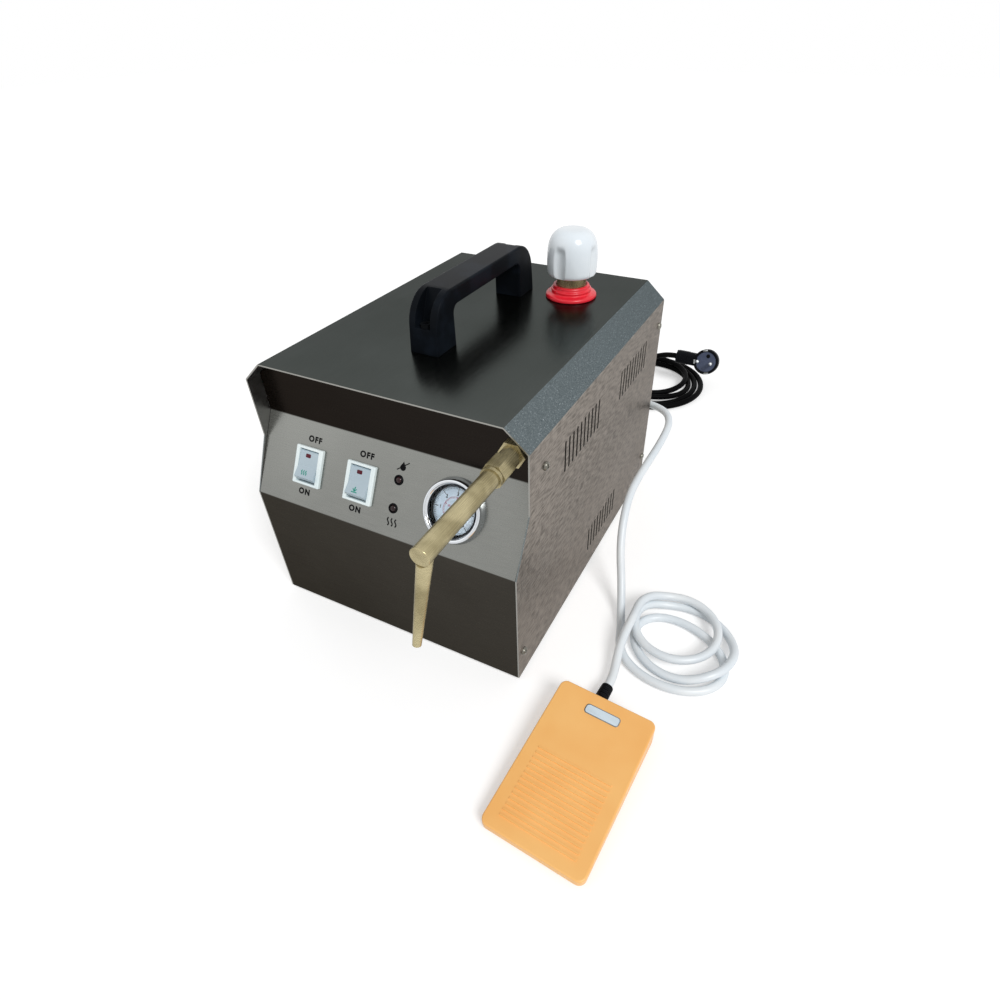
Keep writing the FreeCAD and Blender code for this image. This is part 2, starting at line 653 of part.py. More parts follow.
def make_feet():
    """Rubber feet, each drawn up by a screw from below and a nut on the tray."""
    feet, screws = [], []
    for x, y in foot_places():
        foot = cut(taper("foot_radius - 1.5", "foot_radius", "foot_height"),
                   rod("foot_screw_radius + screw_play", "foot_height + 2", 0, 0, -1),
                   rod("foot_screw_radius * 2.2", "foot_height * 0.6 + 1", 0, 0, -1))
        feet.append(place(foot, x, y))
        screw = fuse(rod("foot_screw_radius * 2", "1.4", 0, 0, "foot_height * 0.6 - 1.4"),
                     rod("foot_screw_radius", "foot_height * 0.4 + metal + 5", 0, 0, "foot_height * 0.6 - 0.4"),
                     hexagon("foot_screw_radius * 3.5", "2.8", 0, 0, "floor_z"))
        screws.append(place(screw, x, y))
    part("feet", group(feet))
    part("foot_screws", group(screws))


def make_cover_screws():
    """Pan-head screws through the cover's sides into the panel flanges."""
    screws = []
    for y, z in casing_screws():
        for facing, edge in (("right", "half_width"), ("left", "-half_width")):
            head = rounded(rod("screw_head_radius", "screw_head"), "screw_head * 0.6",
                           lambda rim: rim.CenterOfMass.z > value("screw_head") - 1e-6)
            recess = block("-0.5", "0.5", "-screw_head_radius * 0.7", "screw_head_radius * 0.7",
                           "screw_head * 0.5", "screw_head + 1")
            shank = rod("screw_radius", "screw_length", 0, 0, "-screw_length")
            screws.append(place(fuse(cut(head, recess), shank), edge, y, z, facing))
    part("cover_screws", group(screws))


def make_handle():
    """A moulded bow: leaning legs, an arched grip and a screw slot open at each outer corner."""
    body = bodied("carry_handle")
    half = "handle_length / 2"
    outline = sketched(body, "YZ_Plane")
    leg = [(half, "0"), (f"{half} - handle_leg", "0"),
           (f"{half} - handle_leg", "handle_height - handle_grip")]
    draw_polygon(outline, [(f"{half} - handle_lean", "handle_height"), *leg, *mirrored(leg),
                           (f"-({half} - handle_lean)", "handle_height")])
    bow = padded(body, outline, "handle_width")
    top, side = value("handle_height"), value("handle_width / 2")
    bow = filleted(body, bow, "handle_bend", along(X_AXIS, lambda middle: middle.z > top - 1e-6))
    bow = filleted(body, bow, "handle_inner_bend", along(X_AXIS, lambda middle: 1 < middle.z < top - 1))
    filleted(body, bow, "handle_edge", lambda edge: abs(abs(edge.CenterOfMass.x) - side) < 1e-6
             and edge.CenterOfMass.z > 1e-6)
    slots = sketched(body, "YZ_Plane")
    slot = [(f"{half} + 1", "slot_floor"), (f"{half} + 1", "handle_height + 2"),
            (f"{half} - slot_reach", "handle_height + 2"),
            (f"{half} - slot_back - handle_lean", "handle_height - handle_grip"),
            (f"{half} - slot_back", "slot_floor")]
    draw_polygon(slots, slot)
    draw_polygon(slots, mirrored(slot))
    pocketed(body, slots, "slot_width")
    holes = sketched(body, "XY_Plane")
    for side_ in "-+":
        draw_circle(holes, "0", f"0 {side_} handle_screw_y", "handle_screw_radius + screw_play")
    pocketed(body, holes)
    part("carry_handle", place(body, 0, "handle_mid", "top_z"))
    screws = []
    for end in "-+":
        head = cut(rod("handle_screw_radius * 1.8", "handle_screw_head"),
                   hexagon("handle_screw_radius * 1.6", "3", 0, 0, "handle_screw_head - 2.4"))
        reach = "(slot_floor + metal + handle_nut_height)"
        shank = rod("handle_screw_radius", f"{reach} + 2", 0, 0, f"-{reach} - 2")
        nut = hexagon("handle_screw_radius * 3.2", "handle_nut_height", 0, 0, f"-{reach}")
        screws.append(place(fuse(head, shank, nut), 0, f"handle_mid {end} handle_screw_y",
                            "top_z + slot_floor"))
    part("handle_screws", group(screws))


# ---------------------------------------------------------------- boiler and steam line

def vessel(radius, knuckle, start, length):
    """A drum along Y with rounded ends."""
    drum = rod(radius, length, "boiler_x", start, "boiler_z", "rear")
    return rounded(drum, knuckle, lambda edge: isinstance(edge.Curve, Part.Circle))


def boiler_ports():
    """Steam outlet, level probe, safety valve and pressure switch, as X and Y on the boiler."""
    return [("boiler_x", "steam_line_y"), ("boiler_x", "probe_y"), ("boiler_x", "safety_y"),
            ("switch_port_x", "safety_y")]


def make_boiler():
    """A welded vessel with pressed ends, bored where its fittings screw in."""
    outer = vessel("boiler_radius", "boiler_knuckle", "boiler_front", "boiler_length")
    inner = vessel("boiler_radius - boiler_wall", "boiler_knuckle - boiler_wall",
                   "boiler_front + boiler_wall", "boiler_length - 2 * boiler_wall")
    filler = rod("filler_radius + seat_play", "boiler_radius", "filler_x", "filler_spot_y", "boiler_z")
    ports = [rod("port_radius + seat_play", "boiler_radius + 5", x, y, "boiler_z") for x, y in boiler_ports()]
    mouth = rod("heater_mouth", "boiler_wall * 3", "boiler_x", "boiler_front - boiler_wall",
                "boiler_z", "rear")
    part("boiler_shell", cut(outer, inner, filler, mouth, *ports))


def make_saddles():
    """Two bent straps stand the boiler on the tray."""
    saddles = []
    for start in ("(boiler_front + saddle_inset)",
                  "(boiler_front + boiler_length - saddle_inset - saddle_width)"):
        web = block("boiler_x - saddle_half", "boiler_x + saddle_half", start, f"{start} + saddle_metal",
                    "floor_z", "boiler_z - boiler_radius * 0.55")
        foot = block("boiler_x - saddle_half", "boiler_x + saddle_half", start, f"{start} + saddle_width",
                     "floor_z", "floor_z + saddle_metal")
        drum = rod("boiler_radius", "saddle_width + 2", "boiler_x", f"{start} - 1", "boiler_z", "rear")
        saddles.append(cut(fuse(web, foot), drum))
    part("boiler_saddles", group(saddles))


def make_heater():
    """An immersion heater: a bolted flange and a hairpin rod whose two ends are its terminals."""
    face = "(boiler_front - heater_flange)"
    bolts, holes = [], []
    for number in range(int(value("heater_bolts"))):
        angle = f"({number} * 360 deg / heater_bolts)"
        x = f"boiler_x + heater_bolt_ring * cos{angle}"
        z = f"boiler_z + heater_bolt_ring * sin{angle}"
        holes.append(rod("heater_bolt_radius + screw_play", "heater_flange + 2", x, f"{face} - 1", z, "rear"))
        bolts.append(fuse(hexagon("heater_bolt_radius * 3.3", "4", x, f"{face} - 4", z, "rear"),
                          rod("heater_bolt_radius", "heater_flange + 3", x, f"{face} - 3", z, "rear")))
    seats = [rod("heater_rod_radius + seat_play", "heater_flange + 2", "boiler_x", f"{face} - 1",
                 f"boiler_z {side} heater_rod_spread", "rear") for side in "-+"]
    flange = rod("heater_flange_radius", "heater_flange", "boiler_x", face, "boiler_z", "rear")
    part("heater_flange", cut(flange, *holes, *seats))
    part("heater_bolts", group(bolts))
    start = point("boiler_x", f"{face} - heater_terminal", "boiler_z + heater_rod_spread")
    spread = value("heater_rod_spread")
    run = Vector(0, value("boiler_front + heater_rod_length") - start.y, 0)
    across = Vector(0, 0, -2 * spread)
    bend = Part.Arc(start + run, start + run + Vector(0, spread, -spread), start + run + across)
    path = Part.Wire([Part.LineSegment(start, start + run).toShape(), bend.toShape(),
                      Part.LineSegment(start + run + across, start + across).toShape()])
    section = Part.Wire(Part.Circle(start, Y_AXIS, value("heater_rod_radius")).toShape())
    element = doc.addObject("Part::Feature", "heater_rod")
    element.Shape = path.makePipeShell([section], True, False)
    part("heater_rod", element)


def make_filler():
    """The filler neck rises through the roof; a stepped rubber gasket seals it there."""
    neck = cut(rod("filler_radius", "top_z + filler_rim - filler_foot", "filler_x", "filler_spot_y",
                   "filler_foot"),
               rod("filler_bore", "top_z + filler_rim - filler_foot + 2", "filler_x", "filler_spot_y",
                   "filler_foot - 1"))
    part("filler_neck", neck)
    over = "filler_rim + seat_play"
    gasket = turned([
        ("filler_radius + seat_play", "0"), ("gasket_radius", "0"), ("gasket_radius", "gasket_lip * 0.7"),
        ("gasket_radius - 1.2", "gasket_lip"), ("gasket_step_radius", "gasket_lip"),
        ("gasket_step_radius", "gasket_height - 1"), ("gasket_step_radius - 1", "gasket_height"),
        ("filler_bore + gasket_play", "gasket_height"), ("filler_bore + gasket_play", over),
        ("filler_radius + seat_play", over)])
    part("filler_gasket", place(gasket, "filler_x", "filler_spot_y", "top_z"))


def make_cap():
    """The filler cap: a lobed white knob over a brass stem, with a loose seal at its foot."""
    body = bodied("filler_cap")
    profile = sketched(body, "XZ_Plane")
    draw_polygon(profile, [
        ("0", "0"), ("cap_radius - 3.1", "0"), ("cap_radius - 1.1", "1.5"), ("cap_radius - 0.2", "6"),
        ("cap_radius", "13"), ("cap_radius - 0.2", "cap_height - cap_shoulder - 1.3"),
        ("cap_radius - 1", "cap_height - cap_shoulder + 5.2"),
        ("cap_radius - 2.9", "cap_height - cap_shoulder + 10.2"),
        ("cap_crown_radius + 4.5", "cap_height - 3.5"), ("cap_crown_radius", "cap_height - 1.3"),
        ("cap_crown_radius - 4.5", "cap_height"), ("0", "cap_height")])
    knob = body.newObject("PartDesign::Revolution", "knob")
    knob.Profile = profile
    knob.ReferenceAxis = (origin(body, "Z_Axis"), [""])
    knob.Angle = 360
    doc.recompute()
    flute = sketched(body, "XY_Plane")
    draw_circle(flute, "cap_radius + cap_flute_radius - cap_flute_depth", "0", "cap_flute_radius")
    first = pocketed(body, flute, "2 * (cap_height - cap_shoulder + 0.7)")
    lobes = body.newObject("PartDesign::PolarPattern", "lobes")
    lobes.Originals = [first]
    lobes.Axis = (origin(body, "Z_Axis"), [""])
    lobes.Angle = 360
    bind(lobes, Occurrences="cap_flutes")
    body.Tip = lobes
    place(body, "filler_x", "filler_spot_y", "cap_floor")
    body.Placement.Rotation = Rotation(Z_AXIS, value("cap_turn"))
    part("filler_cap", body)
    depth = "(cap_lift + cap_stem_depth)"
    stem = fuse(rod("filler_bore - cap_stem_play", f"{depth} - 3", 0, 0, f"-{depth} + 3"),
                rod("cap_waist", "4", 0, 0, f"-{depth}"),
                rod("cap_waist + 3", "2", 0, 0, f"-{depth} - 1.9"))
    part("cap_stem", place(stem, "filler_x", "filler_spot_y", "cap_floor"))
    washer = turned([("cap_waist + 0.3", "0.4"), ("filler_bore - 0.6", "0.4"),
                     ("filler_bore - 0.6", "cap_seal"), ("cap_waist + 0.3", "cap_seal")])
    part("cap_washer", place(washer, "filler_x", "filler_spot_y", f"cap_floor - {depth}"))


def on_nozzle(thing):
    """The nozzle's own Z runs forward out of the fascia and its Y points up."""
    return place(thing, "nozzle_x", "fascia_y", "nozzle_z", "front")


def make_nozzle():
    """Bulkhead fitting, union nut, straight arm and a tapered tip screwed in under its end."""
    shank = "(metal + bulkhead_shank_length)"
    fitting = fuse(hexagon("bulkhead_hex", "bulkhead_hex_length"), rod("bulkhead_radius", "bulkhead_length"),
                   rod("bulkhead_shank", shank, 0, 0, f"-{shank}"))
    socket = "(bulkhead_length - arm_spigot_length)"
    bore = rod("arm_spigot + pin_play", "arm_spigot_length + 1", 0, 0, socket)
    duct = rod("steam_bore", f"bulkhead_length + {shank}", 0, 0, f"-{shank} - 1")
    part("nozzle_fitting", on_nozzle(cut(fitting, bore, duct)))
    locknut = cut(hexagon("bulkhead_hex", "5", 0, 0, "-metal - 5"),
                  rod("bulkhead_shank + seat_play", "7", 0, 0, "-metal - 6"))
    part("fitting_locknut", on_nozzle(locknut))
    nut = cut(hexagon("union_hex", "union_length + union_grip", 0, 0, "bulkhead_length - union_grip"),
              rod("bulkhead_radius + seat_play", "union_grip + 1", 0, 0, "bulkhead_length - union_grip - 1"),
              rod("arm_neck + fit_gap", "union_length + 2", 0, 0, "bulkhead_length - 1"))
    part("union_nut", on_nozzle(nut))
    barrel = rod("arm_radius", "arm_length - fit_gap", 0, 0, "arm_start + fit_gap")
    end = value("arm_start + arm_length") - 1e-6
    outer = rounded(barrel, "0.8", lambda edge: edge.CenterOfMass.z > end)
    arm = fuse(outer, rod("arm_neck", "union_length + 1", 0, 0, "bulkhead_length + fit_gap"),
               rod("arm_collar", "arm_collar_length", 0, 0, "arm_start + fit_gap"),
               rod("arm_spigot", "arm_spigot_length", 0, 0, f"{socket} + 0.5"))
    passage = rod("steam_bore", f"tip_along - {socket}", 0, 0, socket)
    seat = at_tip(rod("tip_thread", "arm_radius * 2", 0, 0, "0.5"))
    part("nozzle_arm", on_nozzle(cut(arm, passage, seat)))
    cone = taper("tip_root_radius", "tip_end_radius", "tip_length - arm_radius * 0.5", 0, 0, "arm_radius * 0.5")
    foot = value("tip_length") - 1e-6
    lip = rounded(cone, "0.7", lambda edge: edge.CenterOfMass.z > foot)
    around_arm = rod("arm_radius + seat_play", "arm_length + 20", 0, 0, "arm_start - 5")
    thread = at_tip(rod("tip_thread - seat_play", "arm_radius * 1.2", 0, 0, "1.5"))
    jet = at_tip(rod("tip_bore", "tip_length", 0, 0, 1))
    part("nozzle_tip", on_nozzle(cut(fuse(cut(at_tip(lip), around_arm), thread), jet)))


def at_tip(thing):
    """Stand a piece on the arm's axis near its end, pointing down and leaning forward."""
    leaning = group([thing])
    leaning.Placement = Placement(Vector(), Rotation(X_AXIS, 70))
    leaning.setExpression("Placement.Rotation.Angle", cell("90 deg - tip_lean * 1 deg"))
    leaning.setExpression("Placement.Base.z", cell("tip_along"))
    return leaning


def make_steam_line():
    """Solenoid valve on the fitting's shank, and the copper pipe from the boiler to it."""
    rear, stator = "(valve_y + valve_length)", "(nozzle_x - valve_width / 2)"
    casting = block(stator, "nozzle_x + valve_width / 2", "valve_y", rear, "nozzle_z - valve_height / 2",
                    "nozzle_z + valve_height / 2 - 2")
    boss = hexagon("steam_pipe_radius * 3.5", "8", "nozzle_x", rear, "nozzle_z", "rear")
    passage = rod("steam_pipe_radius + seat_play", "10", "nozzle_x", f"{rear} - 1", "nozzle_z", "rear")
    part("valve_body", cut(fuse(casting, boss), passage))
    coil = rounded(block(f"{stator} - coil_length", stator, "valve_y + 1", f"{rear} - 1",
                         "nozzle_z - coil_radius", "nozzle_z + coil_radius - 4"), "3", along(X_AXIS))
    part("valve_coil", coil)
    start = point("nozzle_x", rear, "nozzle_z")
    foot = point("boiler_x", "steam_line_y", "boiler_top - 3")
    tube("steam_pipe", [[start, Vector(start.x, foot.y, start.z), Vector(foot.x, foot.y, start.z), foot]],
         "steam_pipe_radius")


def make_boiler_fittings():
    """Steam outlet, level probe, safety valve and pressure switch on top of the boiler."""
    foot, seat = "(boiler_top - 6)", "(boiler_top + 0.5)"
    outlet, probe, safety, switch = boiler_ports()
    boss = fuse(rod("port_radius", "9", *outlet, foot), hexagon("port_hex", "7", *outlet, seat))
    part("steam_outlet", cut(boss, rod("steam_pipe_radius + seat_play", "20", *outlet, "boiler_top - 3.5"),
                             rod("steam_bore", "20", *outlet, "boiler_top - 10")))
    part("level_probe", fuse(rod("port_radius", "9", *probe, foot), hexagon("port_hex", "8", *probe, seat),
                             rod("port_radius - 1.5", "16", *probe, "boiler_top + 8"),
                             rod("1.5", "probe_depth + 6", *probe, "boiler_top - probe_depth - 1")))
    part("safety_valve", fuse(rod("port_radius", "9", *safety, foot), hexagon("port_hex", "9", *safety, seat),
                              rod("port_radius + 1.5", "20", *safety, "boiler_top + 9"),
                              rod("2.2", "34", *safety, "boiler_top + 9"),
                              rod("port_radius - 1", "3", *safety, "boiler_top + 36")))
    floor = "(boiler_z + sqrt(boiler_radius^2 - (switch_port_x - boiler_x)^2))"
    x, y = switch
    part("pressure_switch", fuse(rod("port_radius", "22", *switch, f"{floor} - 9"),
                                 hexagon("port_hex", "6", *switch, f"{floor} + 9"),
                                 rod("15", "10", *switch, f"{floor} + 14"),
                                 block(f"{x} - 13", f"{x} + 13", f"{y} - 12", f"{y} + 12",
                                       f"{floor} + 23", f"{floor} + 44")))


# ---------------------------------------------------------------- console

def make_gauge():
    """A flush pressure gauge: case, chromed bezel, dial, pointer and lens."""
    spot = ("gauge_across", "gauge_up")
    mouth = "(gauge_face + 1)"
    case = turned([
        ("0", "-gauge_case_depth"), ("gauge_body", "-gauge_case_depth"),
        ("gauge_body", "gauge_proud - gauge_rim"), (mouth, "gauge_proud - gauge_rim"),
        (mouth, "dial_z"), ("0", "dial_z")])
    stem = rod("5", "gauge_stem + 1", 0, 0, "-gauge_case_depth - gauge_stem")
    flats = hexagon("12", "9", 0, 0, "-gauge_case_depth - 8")
    socket = rod("needle_shaft + pin_play", "8", 0, 0, "dial_z - 4")
    part("gauge_case", on_console(cut(fuse(case, stem, flats), socket), *spot))
    sleeve, under = "(gauge_body + seat_play)", "(gauge_proud - gauge_rim + seat_play)"
    bezel = turned([
        (sleeve, "0"), ("gauge_radius + 0.6", "0"), ("gauge_radius + 0.6", "1.2"), ("gauge_radius", "2"),
        ("gauge_radius - 0.4", "gauge_proud - 2.4"), ("gauge_radius - 1.6", "gauge_proud - 0.6"),
        ("gauge_radius - 2.8", "gauge_proud"), ("gauge_face + 0.6", "gauge_proud - 0.9"),
        ("gauge_face", "gauge_proud - 1.8"), ("gauge_face", under), (sleeve, under)])
    part("gauge_bezel", on_console(bezel, *spot))
    dial = cut(rod("gauge_face + 0.9", "gauge_dial", 0, 0, "dial_z"),
               rod("needle_shaft + pin_play", "4", 0, 0, "dial_z - 1"))
    part("gauge_dial", on_console(dial, *spot))
    part("gauge_lens", on_console(group([rod("gauge_face + 0.9", "gauge_lens", 0, 0, "lens_z")]), *spot))
    pointer = prism("xy", [("-1.1", "-5"), ("1.1", "-5"), ("0.4", "needle_length"), ("-0.4", "needle_length")],
                    "dial_z + gauge_dial + 1.4", "dial_z + gauge_dial + 2")
    pointer.Placement = Placement(Vector(), Rotation(Z_AXIS, value("needle_rest")))
    needle = fuse(pointer, rod("needle_shaft * 2.4", "1.8", 0, 0, "dial_z + gauge_dial + 0.8"),
                  rod("needle_shaft", "gauge_dial + 4.5", 0, 0, "dial_z - 3.5"))
    part("gauge_needle", on_console(needle, *spot))


def make_switch(name, across):
    """A rocker switch: snap-in housing with a raised frame, and a rocker on two stub pins."""
    crest = value("bezel_height") - 1e-6
    frame = rounded(block("-bezel_width / 2", "bezel_width / 2", "-bezel_length / 2", "bezel_length / 2",
                          "0", "bezel_height"), "1",
                    lambda edge: along(Z_AXIS)(edge) or edge.CenterOfMass.z > crest)
    box = block("-switch_width / 2", "switch_width / 2", "-switch_length / 2", "switch_length / 2",
                "-switch_depth", "0.5")
    well = block("-switch_width / 2 + switch_wall", "switch_width / 2 - switch_wall",
                 "-switch_length / 2 + switch_wall", "switch_length / 2 - switch_wall",
                 "-rocker_pivot - rocker_radius + 2", "bezel_height + 1")
    bearing = rod("rocker_pin + pin_play", "switch_width + 2", "-switch_width / 2 - 1", 0,
                  "-rocker_pivot", "right")
    blades = [block("-3.2", "3.2", f"{y} - 0.4", f"{y} + 0.4", "-switch_depth - terminal_length",
                    "-switch_depth + 1") for y in ("-9", "0", "9")]
    housing = fuse(cut(fuse(frame, box), well, bearing), *blades)
    part(f"{name}_switch", on_console(housing, across, "switch_up"))
    disc = rod("rocker_radius", "rocker_width", "-rocker_width / 2", 0, "-rocker_pivot", "right")
    rise, fall = "rocker_radius * sin(rocker_high) - rocker_pivot", "rocker_radius * sin(rocker_low) - rocker_pivot"
    beyond, keel = "rocker_radius * 1.3", "-rocker_pivot - rocker_floor"
    outline = prism("yz", [
        ("-rocker_radius * cos(rocker_low)", fall), ("0", "rocker_mid"),
        ("rocker_radius * cos(rocker_high)", rise), (beyond, rise), (beyond, keel),
        (f"-{beyond}", keel), (f"-{beyond}", fall)], "-rocker_width / 2", "rocker_width / 2")
    pins = rod("rocker_pin", "rocker_width + 2 * switch_wall", "-rocker_width / 2 - switch_wall", 0,
               "-rocker_pivot", "right")
    part(f"{name}_rocker", on_console(fuse(common(disc, outline), pins), across, "switch_up"))


def make_lamps():
    """Signal lamps: a domed lens each, held from behind by a sleeve."""
    sleeves = []
    for name, across, up in (("water", "water_lamp_across", "water_lamp_up"),
                             ("steam", "steam_lamp_across", "steam_lamp_up")):
        curve = "((lamp_radius^2 + lamp_dome^2) / (2 * lamp_dome))"
        dome = common(rod("lamp_radius", "lamp_dome + 1"), ball(curve, 0, 0, f"lamp_dome - {curve}"))
        body = rod("lamp_radius", "lamp_depth", 0, 0, "-lamp_depth")
        part(f"{name}_lamp", on_console(fuse(dome, body), across, up))
        sleeve = cut(rod("lamp_sleeve", "lamp_depth + 3", 0, 0, "-metal - lamp_depth - 3"),
                     rod("lamp_radius + seat_play", "lamp_depth", 0, 0, "-lamp_depth - seat_play"))
        sleeves.append(on_console(sleeve, across, up))
    part("lamp_sleeves", group(sleeves))


# ---------------------------------------------------------------- electrical pieces, cords and plug

def make_electrics():
    """The relay and the terminal strip stand on the tray beside the boiler."""
    near, far = "(front_y + relay_y)", "(front_y + relay_y + relay_length)"
    side = "relay_width / 2"
    relay = rounded(block(f"relay_x - {side}", f"relay_x + {side}", near, far, "floor_z",
                          "floor_z + relay_height"), "3", along(Z_AXIS))
    step = block(f"relay_x - {side} - 1", f"relay_x + {side} + 1", f"{near} - 1", f"{near} + 16",
                 "floor_z + relay_height * 0.6", "floor_z + relay_height + 1")
    part("relay", cut(relay, step))
    start = f"({near} - 12 - terminal_count * terminal_pitch)"
    strip = block("relay_x - terminal_width / 2", "relay_x + terminal_width / 2", start, f"{near} - 12",
                  "floor_z", "floor_z + terminal_height")
    wells = [rod("3", "12", f"relay_x {way} terminal_width / 4", f"{start} + terminal_pitch * {number + 0.5}",
                 "floor_z + terminal_height - 9")
             for number in range(int(value("terminal_count"))) for way in "-+"]
    part("terminal_block", cut(strip, *wells))


def make_gland(name, x, z):
    """A plastic cord gland through the rear panel, with its locknut inside."""
    whole = fuse(hexagon("gland_hex", "gland_length * 0.4"),
                 taper("gland_hex * 0.46", "cord_radius + 2.4", "gland_length * 0.6", 0, 0, "gland_length * 0.4"),
                 rod("gland_thread", "metal + 10", 0, 0, "-metal - 10"),
                 hexagon("gland_hex", "4", 0, 0, "-metal - 4"))
    passage = rod("cord_radius + seat_play", "gland_length + 40", 0, 0, "-metal - 11")
    part(f"{name}_gland", place(cut(whole, passage), x, "rear_y", z, "rear"))


def coil(label, name):
    """The outer shape of a loose coil that lies on the floor."""
    hollow, radius, height = (f"{name}_{word}" for word in ("coil_hollow", "coil_radius", "coil_height"))
    ring = turned([
        (hollow, "3"), (f"{hollow} + 3", "0"), (f"{radius} - 3", "0"), (radius, "3"),
        (radius, f"{height} - 6"), (f"{radius} - 6", height), (f"{hollow} + 6", height),
        (hollow, f"{height} - 6")])
    part(label, place(ring, f"{name}_coil_x", f"{name}_coil_y"))


# Routes of the cords, point by point, with the floor at z = 0.
MAINS_ROUTE = [(-50, 168, 50), (-50, 206, 50), (-47, 246, 43), (-39, 286, 29), (-31, 328, 15),
               (-24, 370, 8), (-19, 408, 7)]
PLUG_ROUTE = [(28, 463, 20), (50, 454, 31), (70, 442.5, 39.5), (87, 433.4, 42.6), (104, 433.4, 42.6)]
PEDAL_ROUTE = [(8, 169, 64), (8, 202, 64), (31, 225, 67), (64, 226, 74), (90, 205, 83), (141, 180, 96),
               (161, 149, 100), (162, 108, 95), (159, 62, 91), (157, 24, 84), (162, -8, 71),
               (170, -31, 57), (179, -50, 40), (187, -66, 24), (190, -84, 13)]
PEDAL_TAIL = [(190, -92, 8), (205.46, -121, 9), (202.44, -160.3, 9)]


def make_cords():
    make_gland("mains", "mains_gland_x", "mains_gland_z")
    make_gland("pedal", "pedal_gland_x", "pedal_gland_z")
    for name, routes in (("mains", (MAINS_ROUTE, PLUG_ROUTE)), ("pedal", (PEDAL_ROUTE, PEDAL_TAIL))):
        points = [[Vector(*spot) for spot in route] for route in routes]
        tube(f"{name}_cord", points, "cord_radius", report=True)
        coil(f"{name}_cord_coil", name)


def on_plug(thing):
    """The plug lies on the coil, its pins toward the front and a little up."""
    thing.Placement = Placement(Vector(), Rotation(X_AXIS, 70))
    for axis, text in zip("xyz", ("plug_x", "plug_y", "plug_z")):
        thing.setExpression("Placement.Base." + axis, cell(text))
    thing.setExpression("Placement.Rotation.Angle", cell("90 deg - plug_tilt * 1 deg"))
    return thing


def make_plug():
    """An angled plug: a round head with its pins, and a side arm that the cord enters."""
    head = turned([("0", "-plug_depth"), ("plug_radius * 0.72", "-plug_depth"),
                   ("plug_radius", "-plug_depth * 0.6"), ("plug_radius", "0"), ("0", "0")])
    middle = "-plug_depth * 0.5"
    clip = block("plug_radius - 2.5", "plug_radius + 2.5", "-4", "4", "-plug_depth - 1", "1")
    arm = rod("plug_arm_radius", "plug_arm_length", 0, 0, middle, "left")
    nose = taper("plug_arm_radius - 1.5", "cord_radius + 1.6", "plug_nose", "-plug_arm_length", 0, middle, "left")
    passage = rod("cord_radius + seat_play", "14", "-plug_arm_length - plug_nose - 1", 0, middle, "right")
    pins, sockets = [], []
    for side in "-+":
        x = f"{side} plug_pin_spread"
        pins.append(fuse(rod("plug_pin_radius", "plug_pin_length - plug_pin_radius + 6", x, 0, "-6"),
                         ball("plug_pin_radius", x, 0, "plug_pin_length - plug_pin_radius")))
        sockets.append(rod("plug_pin_radius + seat_play", "8", x, 0, "-6"))
    part("mains_plug", on_plug(cut(fuse(cut(head, clip), arm, nose), passage, *sockets)))
    part("plug_pins", on_plug(group(pins)))


# ---------------------------------------------------------------- foot switch

def on_pedal(thing):
    """The foot switch stands turned a little; its own Y runs back to the cord."""
    thing.Placement = Placement(Vector(), Rotation(Z_AXIS, 355))
    for axis, text in zip("xyz", ("pedal_x", "pedal_y", "0")):
        thing.setExpression("Placement.Base." + axis, cell(text))
    thing.setExpression("Placement.Rotation.Angle", cell("360 deg + pedal_turn * 1 deg"))
    return thing


def wedge(inset, floor, lowering):
    """The pedal's long section, drawn in and lowered: high at the cord, low at the toe."""
    return [(f"-{inset}", floor), (f"-{inset}", f"pedal_rear_height - {lowering}"),
            (f"{inset} - pedal_length", f"pedal_front_height - {lowering}"),
            (f"{inset} - pedal_length", floor)]


def make_pedal_top():
    """The treadle: a skirted wedge with grip ribs, hung on two ears at its toe."""
    shell = rounded(prism("yz", wedge("0", "pedal_skirt", "0"), "-pedal_half", "pedal_half"),
                    "pedal_corner", along(Z_AXIS))
    crest = value("pedal_front_height") - 0.5
    shell = rounded(shell, "pedal_edge", lambda edge: edge.CenterOfMass.z > crest and not along(Z_AXIS)(edge))
    hollow = prism("yz", wedge("pedal_wall", "0", "pedal_wall"), "-pedal_half + pedal_wall",
                   "pedal_half - pedal_wall")
    beside = "(relief_radius + pedal_gap)"
    notch = fuse(block(f"relief_across - {beside}", f"relief_across + {beside}", "-pedal_wall - 1", "1", "0",
                       "relief_rise + pedal_drop"),
                 rod(beside, "pedal_wall + 2", "relief_across", "-pedal_wall - 1", "relief_rise + pedal_drop", "rear"))
    ribs = []
    for number in range(int(value("pedal_rib_count"))):
        back = f"(pedal_rib_start + {number} * pedal_rib_pitch)"
        rise = f"(pedal_rear_height - {back} * pedal_grade)"
        ribs.append(block("-pedal_half + pedal_rib_margin", "pedal_half - pedal_rib_margin",
                          f"-{back} - pedal_rib_width", f"-{back}", f"{rise} - 1",
                          f"{rise} + pedal_rib_height - pedal_rib_width * pedal_grade"))
    inner = "(base_half - pedal_base_wall - pedal_gap)"
    lid = "(pedal_rear_height + hinge_y * pedal_grade - pedal_wall)"
    ears, bores = [], []
    for side in ("-", ""):
        x = f"{side}({inner})" if side == "" else f"-{inner} + pedal_ear_width"
        start = f"({x}) - pedal_ear_width"
        ears.append(fuse(rod("pedal_ear", "pedal_ear_width", start, "hinge_y", "pedal_hinge_rise", "right"),
                         block(start, x, "hinge_y - pedal_ear", "hinge_y + pedal_ear", "pedal_hinge_rise",
                               f"{lid} + 0.4")))
        bores.append(rod("pedal_pin_radius + pin_play", "pedal_ear_width + 2", f"{start} - 1", "hinge_y",
                         "pedal_hinge_rise", "right"))
    shell = cut(fuse(cut(shell, hollow), *ribs, *ears), notch, *bores)
    part("pedal_top", on_pedal(shell))


